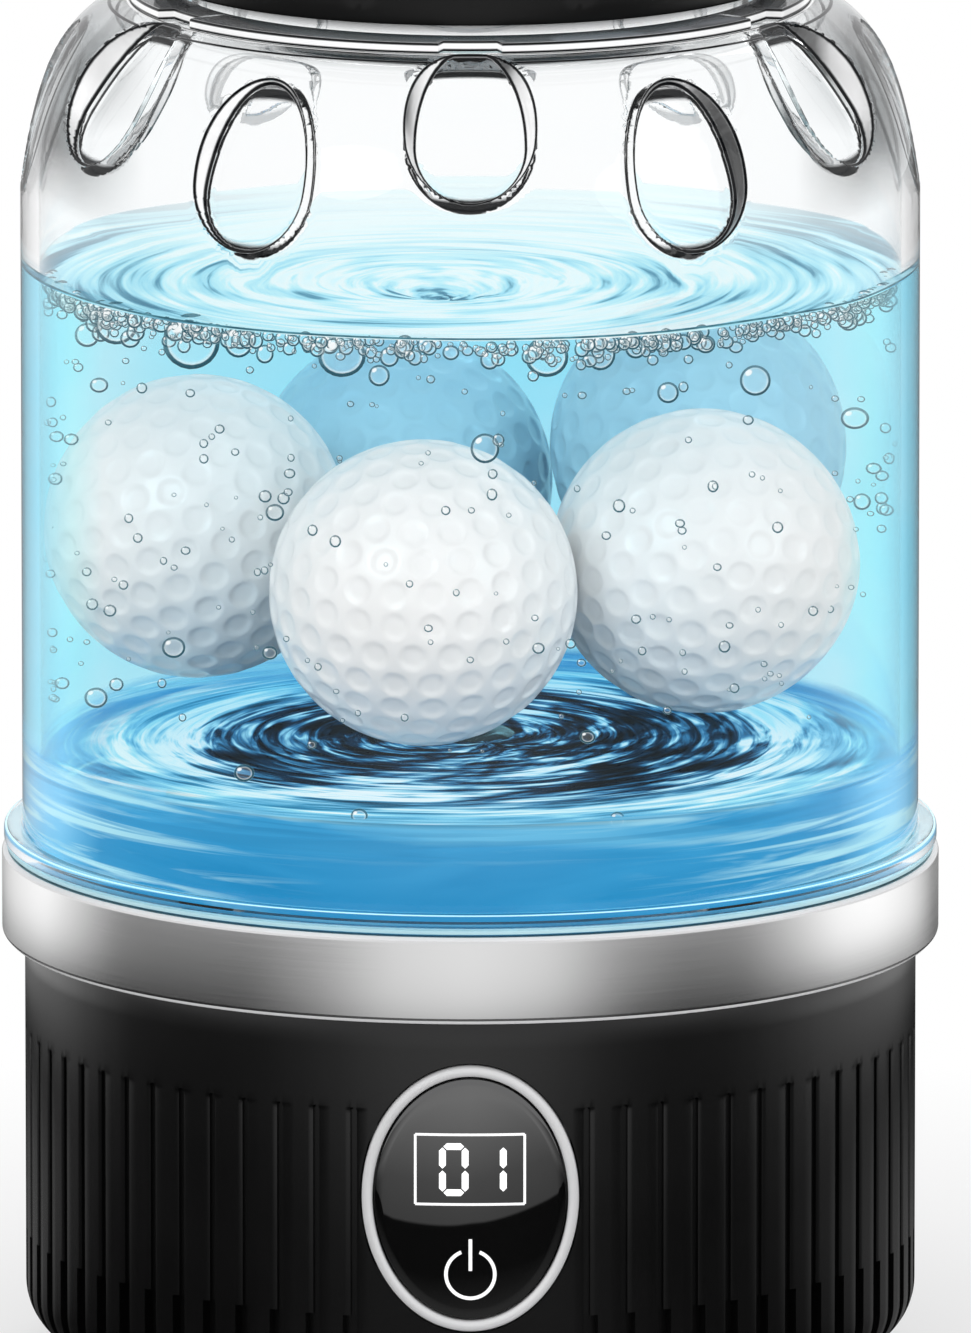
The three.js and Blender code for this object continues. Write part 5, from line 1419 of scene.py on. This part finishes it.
def bubbles():
    """Froth along the front of the water line, and loose bubbles near the wall."""
    chance = random.Random(7)
    # Angle from the front, height and radius of the bubbles that stand out
    big = [
        (-58, 152.6, 2.9), (-43, 152.0, 3.9), (-33.5, 153.2, 2.0), (-18, 152.4, 3.3), (-12.5, 150.0, 1.5),
        (10.6, 152.6, 3.0), (18, 152.8, 2.1), (23, 153.4, 1.5),
        (-66, 149.6, 1.6), (-60, 143.6, 1.2), (28, 146.6, 1.5), (43, 146.6, 2.1), (65, 138.0, 1.8),
        (-61, 99.0, 1.5), (-45, 108.6, 1.6), (-28, 110.0, 1.1),
        (-32, 92.6, 1.4), (-15, 88.0, 1.2), (20, 87.0, 1.2), (2, 140.0, 2.0), (-27, 130.0, 1.3),
        (16, 99.0, 1.1), (70, 130.0, 1.0), (66, 126.0, 1.1), (-55, 102.0, 1.0),
    ]
    spots = list(big)
    for _ in range(FROTH):
        angle = chance.uniform(-86, 86)
        radius = chance.choice((0.45, 0.55, 0.7, 0.9, 1.1)) * chance.uniform(0.8, 1.25)
        spots.append((angle, FROTH_TOP - abs(chance.gauss(0, 1.5)) - radius * 0.7, radius))
    for _ in range(LOOSE):
        angle, level = chance.uniform(-84, 84), chance.uniform(LOOSE_LOW, LOOSE_HIGH)
        radius = chance.choice((0.35, 0.45, 0.6, 0.8)) * chance.uniform(0.8, 1.2)
        spots.append((angle, level, radius))
    shape = {}
    for detail in (2, 3):
        form = bmesh.new()
        bmesh.ops.create_icosphere(form, subdivisions=detail, radius=1.0)
        shape[detail] = form_parts(form)
    froth = Shape()
    small = []
    for angle, level, radius in spots:
        points, faces = shape[3 if radius > 1.0 else 2]
        x, y = at_angle(BUBBLE_REACH - radius - chance.uniform(0, 1.2), math.radians(angle))
        flat = chance.uniform(0.85, 1.12)
        froth.add(
            [(x + px * radius, y + py * radius, level + pz * radius * flat) for px, py, pz in points], faces
        )
        small += [min(1.0, max(0.0, (2.2 - radius) / 1.6))] * len(points)
    froth.piece("bubbles", bubble_material(), "jar", sharp=80, attributes={"small": small})


# Stage
BRIGHTEST = 1.6
FLOOR_LEVEL, FLOOR_REACH = -0.2, 1500
CAMERA_PLACE, CAMERA_DOWN, CAMERA_ASIDE, LENS, SENSOR = (0.0, -3.6535, 0.8257), 0.1967, -0.000586, 714.8, 36.0


def surroundings(tree, vector):
    """Brightness round the stand by direction: lights in front and at both sides, dark flags between."""
    split = tree.split(vector)
    turn = tree.math("ARCTAN2", split["X"], split["Y"] * -1.0)
    share = tree.rise(turn, -math.pi, math.pi)
    light = (
        (-180, 0.2), (-160, 0.4), (-144, 0.95), (-120, 1.38), (-104, 0.8), (-90, 0.25), (-70, 0.19),
        (-50, 0.19), (-34, 0.45), (-18, 0.9),
        (0, 1.02), (18, 0.88), (34, 0.35), (50, 0.18), (66, 0.24), (80, 0.72), (96, 1.38), (112, 1.42),
        (130, 1.1), (148, 0.3), (180, 0.18),
    )
    stops = [(0.5 + angle / 360, value / BRIGHTEST) for angle, value in light]
    return tree.ramp(share, stops), turn


def studio():
    """White surroundings, and a white floor, which gloss mirrors as lights and dark flags."""
    world = bpy.data.worlds.new("studio")
    bpy.context.scene.world = world
    t = Tree(world)
    rays = t.add("LightPath")
    seen = t.most(rays["Is Camera Ray"], rays["Is Transmission Ray"]) * seen_rays(t)
    lit = t.mix(rays["Is Glossy Ray"], (0.50, 0.50, 0.51), (0.92, 0.92, 0.93))
    colour = t.mix(seen, lit, WHITE)
    t.finish(t.add("Background", {"Color": colour, "Strength": 1.0})[0], "OutputWorld")

    t = new_tree("floor")
    place = t.add("NewGeometry")["Position"]
    rays = t.add("LightPath")
    reach = t.add("VectorMath", {0: place}, operation="LENGTH")["Value"]
    far = t.scale_range(reach, 0.62, 1.0, 0.066, 0.2)
    seen = t.most(rays["Is Camera Ray"], rays["Is Transmission Ray"]) * seen_rays(t)
    mirrored = rays["Is Glossy Ray"] * (1.0 - rays["Is Transmission Ray"])
    white = t.emission(WHITE)
    soft = t.add("BsdfDiffuse", {"Color": (0.9, 0.9, 0.9)})[0]
    around, turn = surroundings(t, place)
    bow = turn * 0.0208 + turn * turn * 0.095
    inward = reach - t.math("MINIMUM", bow, 0.06)
    share = t.rise(inward, 0.10, 0.34)
    card = t.ramp(share, [
        (0.0, 0.14), (0.15, 0.10), (0.3, 0.015), (0.437, 0.015), (0.445, 0.32), (0.56, 0.42), (0.8, 1.0),
        (1.0, 1.0)
    ])
    card = t.emission(around, card * BRIGHTEST)
    plain = t.mix_shaders(seen * far, soft, white)
    t.finish(t.mix_shaders(mirrored, plain, card))
    outline = [(0, FLOOR_LEVEL), (FLOOR_REACH, FLOOR_LEVEL), (FLOOR_REACH, -4), (0, -4)]
    Shape().turned(outline, 96).piece("studio_floor", t.owner)


def lamp(name, place, size, power, target=(0, 0, 0.11)):
    light = bpy.data.lights.new(name, "AREA")
    light.shape, light.size, light.energy = "DISK", size, power
    made = new_object(name, light)
    made.location = place
    made.rotation_euler = (Vector(target) - Vector(place)).to_track_quat("-Z", "Y").to_euler()
    made.visible_glossy = False


def camera():
    """The photo's view: from far in front and a little above, turned down and a trace to one side."""
    lens = bpy.data.cameras.new("camera")
    lens.sensor_width, lens.lens, lens.clip_end = SENSOR, LENS, 20.0
    made = new_object("camera", lens)
    made.location = CAMERA_PLACE
    made.rotation_euler = (math.pi / 2 - CAMERA_DOWN, 0.0, CAMERA_ASIDE)
    bpy.context.scene.camera = made


# The whole
FINISHES = (
    (BLACK, "bottom_cover top_deck coupling_cup battery_cradle drive_dog driven_dog"),
    (BOARD, "display_board main_board"),
    (GLOSS, "display_module"),
    (STEEL, "touch_pad usb_socket motor_can motor_shaft drive_shaft impeller_shaft"),
    (BRONZE, "motor_pinion upper_bush lower_bush hub_bush"),
    (NYLON, "gear_plate drive_gear"),
    (RUBBER, "shaft_seal hub_seal"),
    (WRAP, "battery_1 battery_2"),
    (SILICONE, "lid_liner"),
)
for material, nodes in FINISHES:
    for node in nodes.split():
        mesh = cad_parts[node].data
        mesh.materials.clear()
        mesh.materials.append(material)

bpy.context.scene.view_settings.view_transform = "Standard"
camera()
studio()
lamp("key", (-0.9, -1.3, 1.1), 0.9, 8.4)
lamp("fill", (1.2, -1.0, 0.7), 0.9, 4.7)
lamp("back", (0.3, 1.3, 1.2), 0.8, 6.0)
for build in (base_shell, housing_posts, feet, port_flap, panel_bezel, panel_lens, panel_marks, trim_ring):
    build()
for build in (foot_gasket, jar, jar_floor, impeller, lid, water, bubbles, balls):
    build()
bpy.context.scene.cycles.transparent_max_bounces = 40
